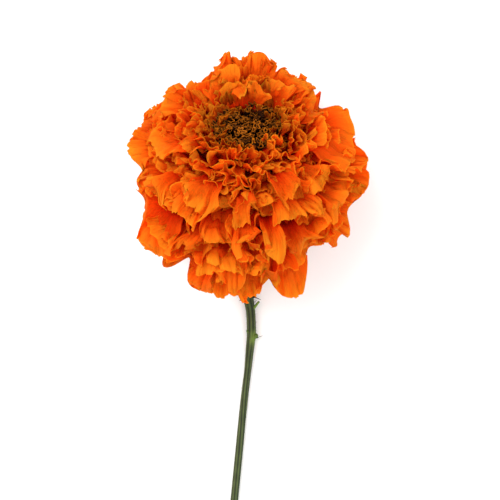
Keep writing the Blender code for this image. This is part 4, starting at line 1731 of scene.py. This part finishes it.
    def fuzz(self) -> bpy.types.Object:
        """Models the short soft hairs on the stem's upper half and round its stumps.

        Returns:
            All the hairs as one object.
        """
        rng = np.random.default_rng(self.seed)
        bpy.ops.object.select_all(action="DESELECT")
        bpy.ops.mesh.primitive_cone_add(vertices=4, radius1=1, depth=1, location=(0, 0, 0.5))
        spike = added("hair")
        bpy.ops.object.transform_apply(location=True, rotation=True, scale=True)
        flat = coordinates(spike)
        places, radii = self.centres(self.route_steps)
        hairs = []
        for i in range(self.hairs):
            at = int(rng.triangular(*self.hair_steps))
            turn = rng.uniform(-self.hair_turn, math.pi + self.hair_turn)
            out = Vector((math.cos(turn), rng.uniform(*self.hair_lean), math.sin(turn))).normalized()
            length = rng.uniform(*self.hair_length) * MM
            rotation = out.to_track_quat("Z", "Y").to_matrix()
            shaped = (flat * (self.hair_radius, self.hair_radius, length)) @ np.array(rotation).T
            foot = np.array((out.x, 0.0, out.z)) / math.hypot(out.x, out.z) * radii[at] * self.hair_root
            twin = copy_of(spike, f"hair_{i}")
            set_coordinates(twin, shaped + places[at] + foot)
            for name, value in (("rib", 0.9), ("flush", 0.0), ("fresh", 0.5), ("straight", shaped)):
                set_attribute(twin, name, value)
            hairs.append(twin)
        bpy.data.objects.remove(spike)
        return joined(hairs, "stem_hairs")

    def build(self) -> list[bpy.types.Object]:
        """Models the stalk with all that grows on it, and its hairs.

        Returns:
            The stalk and the hairs, dressed.
        """
        stalk = joined([self.stalk()] + [self.shoot(sizes) for sizes in self.shoots], "stem_stalk")
        skin = STEM_SKIN.material()
        return [dressed(piece, skin, "stem") for piece in (stalk, self.fuzz())]


# ---------------------------------------------------------------- the studio


@dataclass(frozen=True)
class Lamp:
    """A square soft light: its place and its side in metres, and its power in watts."""

    name: str
    place: tuple[float, float, float]
    size: float
    power: float


@dataclass
class Studio:
    """A pale table top, soft light from the upper left, and a camera that looks straight down."""

    head: Head
    table_size: float = 4.0
    lamps: tuple[Lamp, ...] = (
        Lamp("key_light", (-0.5, 0.45, 0.95), 0.9, 10.5),
        Lamp("fill_light", (0.7, -0.5, 1.0), 1.2, 5.5),
    )
    sky: float = 1.05  # strength of the even white light from all round
    view_width: float = 195.0 * MM  # what the frame shows at the head's middle height
    lens: float = 300.0
    sensor: float = 36.0
    offset: tuple[float, float] = (1.56 * MM, -28.5 * MM)  # of the view's centre from the head's middle

    def table(self) -> bpy.types.Object:
        """Lays the table top.

        Returns:
            The table top.
        """
        bpy.ops.object.select_all(action="DESELECT")
        bpy.ops.mesh.primitive_plane_add(size=self.table_size)
        table = added("table_top")
        table.data.materials.append(TableFinish().material())
        table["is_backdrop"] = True
        return table

    def light(self, lamp: Lamp) -> None:
        """Hangs a soft light that faces the flower.

        Args:
            lamp: the light's name, place, size and power.
        """
        data = bpy.data.lights.new(lamp.name, "AREA")
        data.size = lamp.size
        data.energy = lamp.power
        light = bpy.data.objects.new(lamp.name, data)
        bpy.context.scene.collection.objects.link(light)
        place = Vector(lamp.place)
        light.location = place
        light.rotation_euler = (self.head.matrix().translation - place).to_track_quat("-Z", "Y").to_euler()

    def look(self) -> None:
        """Sets the camera, which looks straight down on the flower."""
        data = bpy.data.cameras.new("camera")
        data.lens = self.lens
        data.sensor_width = self.sensor
        camera = bpy.data.objects.new("camera", data)
        bpy.context.scene.collection.objects.link(camera)
        middle = self.head.matrix().translation
        distance = self.view_width * self.lens / self.sensor
        camera.location = (middle.x + self.offset[0], middle.y + self.offset[1], middle.z + distance)
        bpy.context.scene.camera = camera

    def build(self) -> list[bpy.types.Object]:
        """Sets up the table, the lights, the white world and the camera.

        Returns:
            The table top.
        """
        table = self.table()
        for lamp in self.lamps:
            self.light(lamp)
        world = bpy.data.worlds.new("studio")
        world.use_nodes = True
        background = world.node_tree.nodes["Background"]
        background.inputs["Color"].default_value = (1, 1, 1, 1)
        background.inputs["Strength"].default_value = self.sky
        bpy.context.scene.world = world
        bpy.context.scene.view_settings.view_transform = "Standard"
        self.look()
        return [table]


def write_sizes() -> None:
    boxes = {"cad": CAD_BOX, "visual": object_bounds()}
    {name: [list(corner) for corner in box] for name, box in boxes.items()}


def main() -> None:
    """Builds and dresses the flower, sets the studio round it, and reports each piece."""
    logging.basicConfig(level=logging.INFO, format="%(name)s %(message)s")
    head = Head()
    petal = PetalFinish().material()
    for assembly in (
        RayFlorets(head, petal),
        Receptacle(head, petal),
        DiscFlorets(head),
        Calyx(head),
        Stem(head),
        Studio(head),
    ):
        for piece in assembly.build():
            LOG.info("%s: %d vertices", piece.name, len(piece.data.vertices))
    write_sizes()


if __name__ == "__main__":
    main()
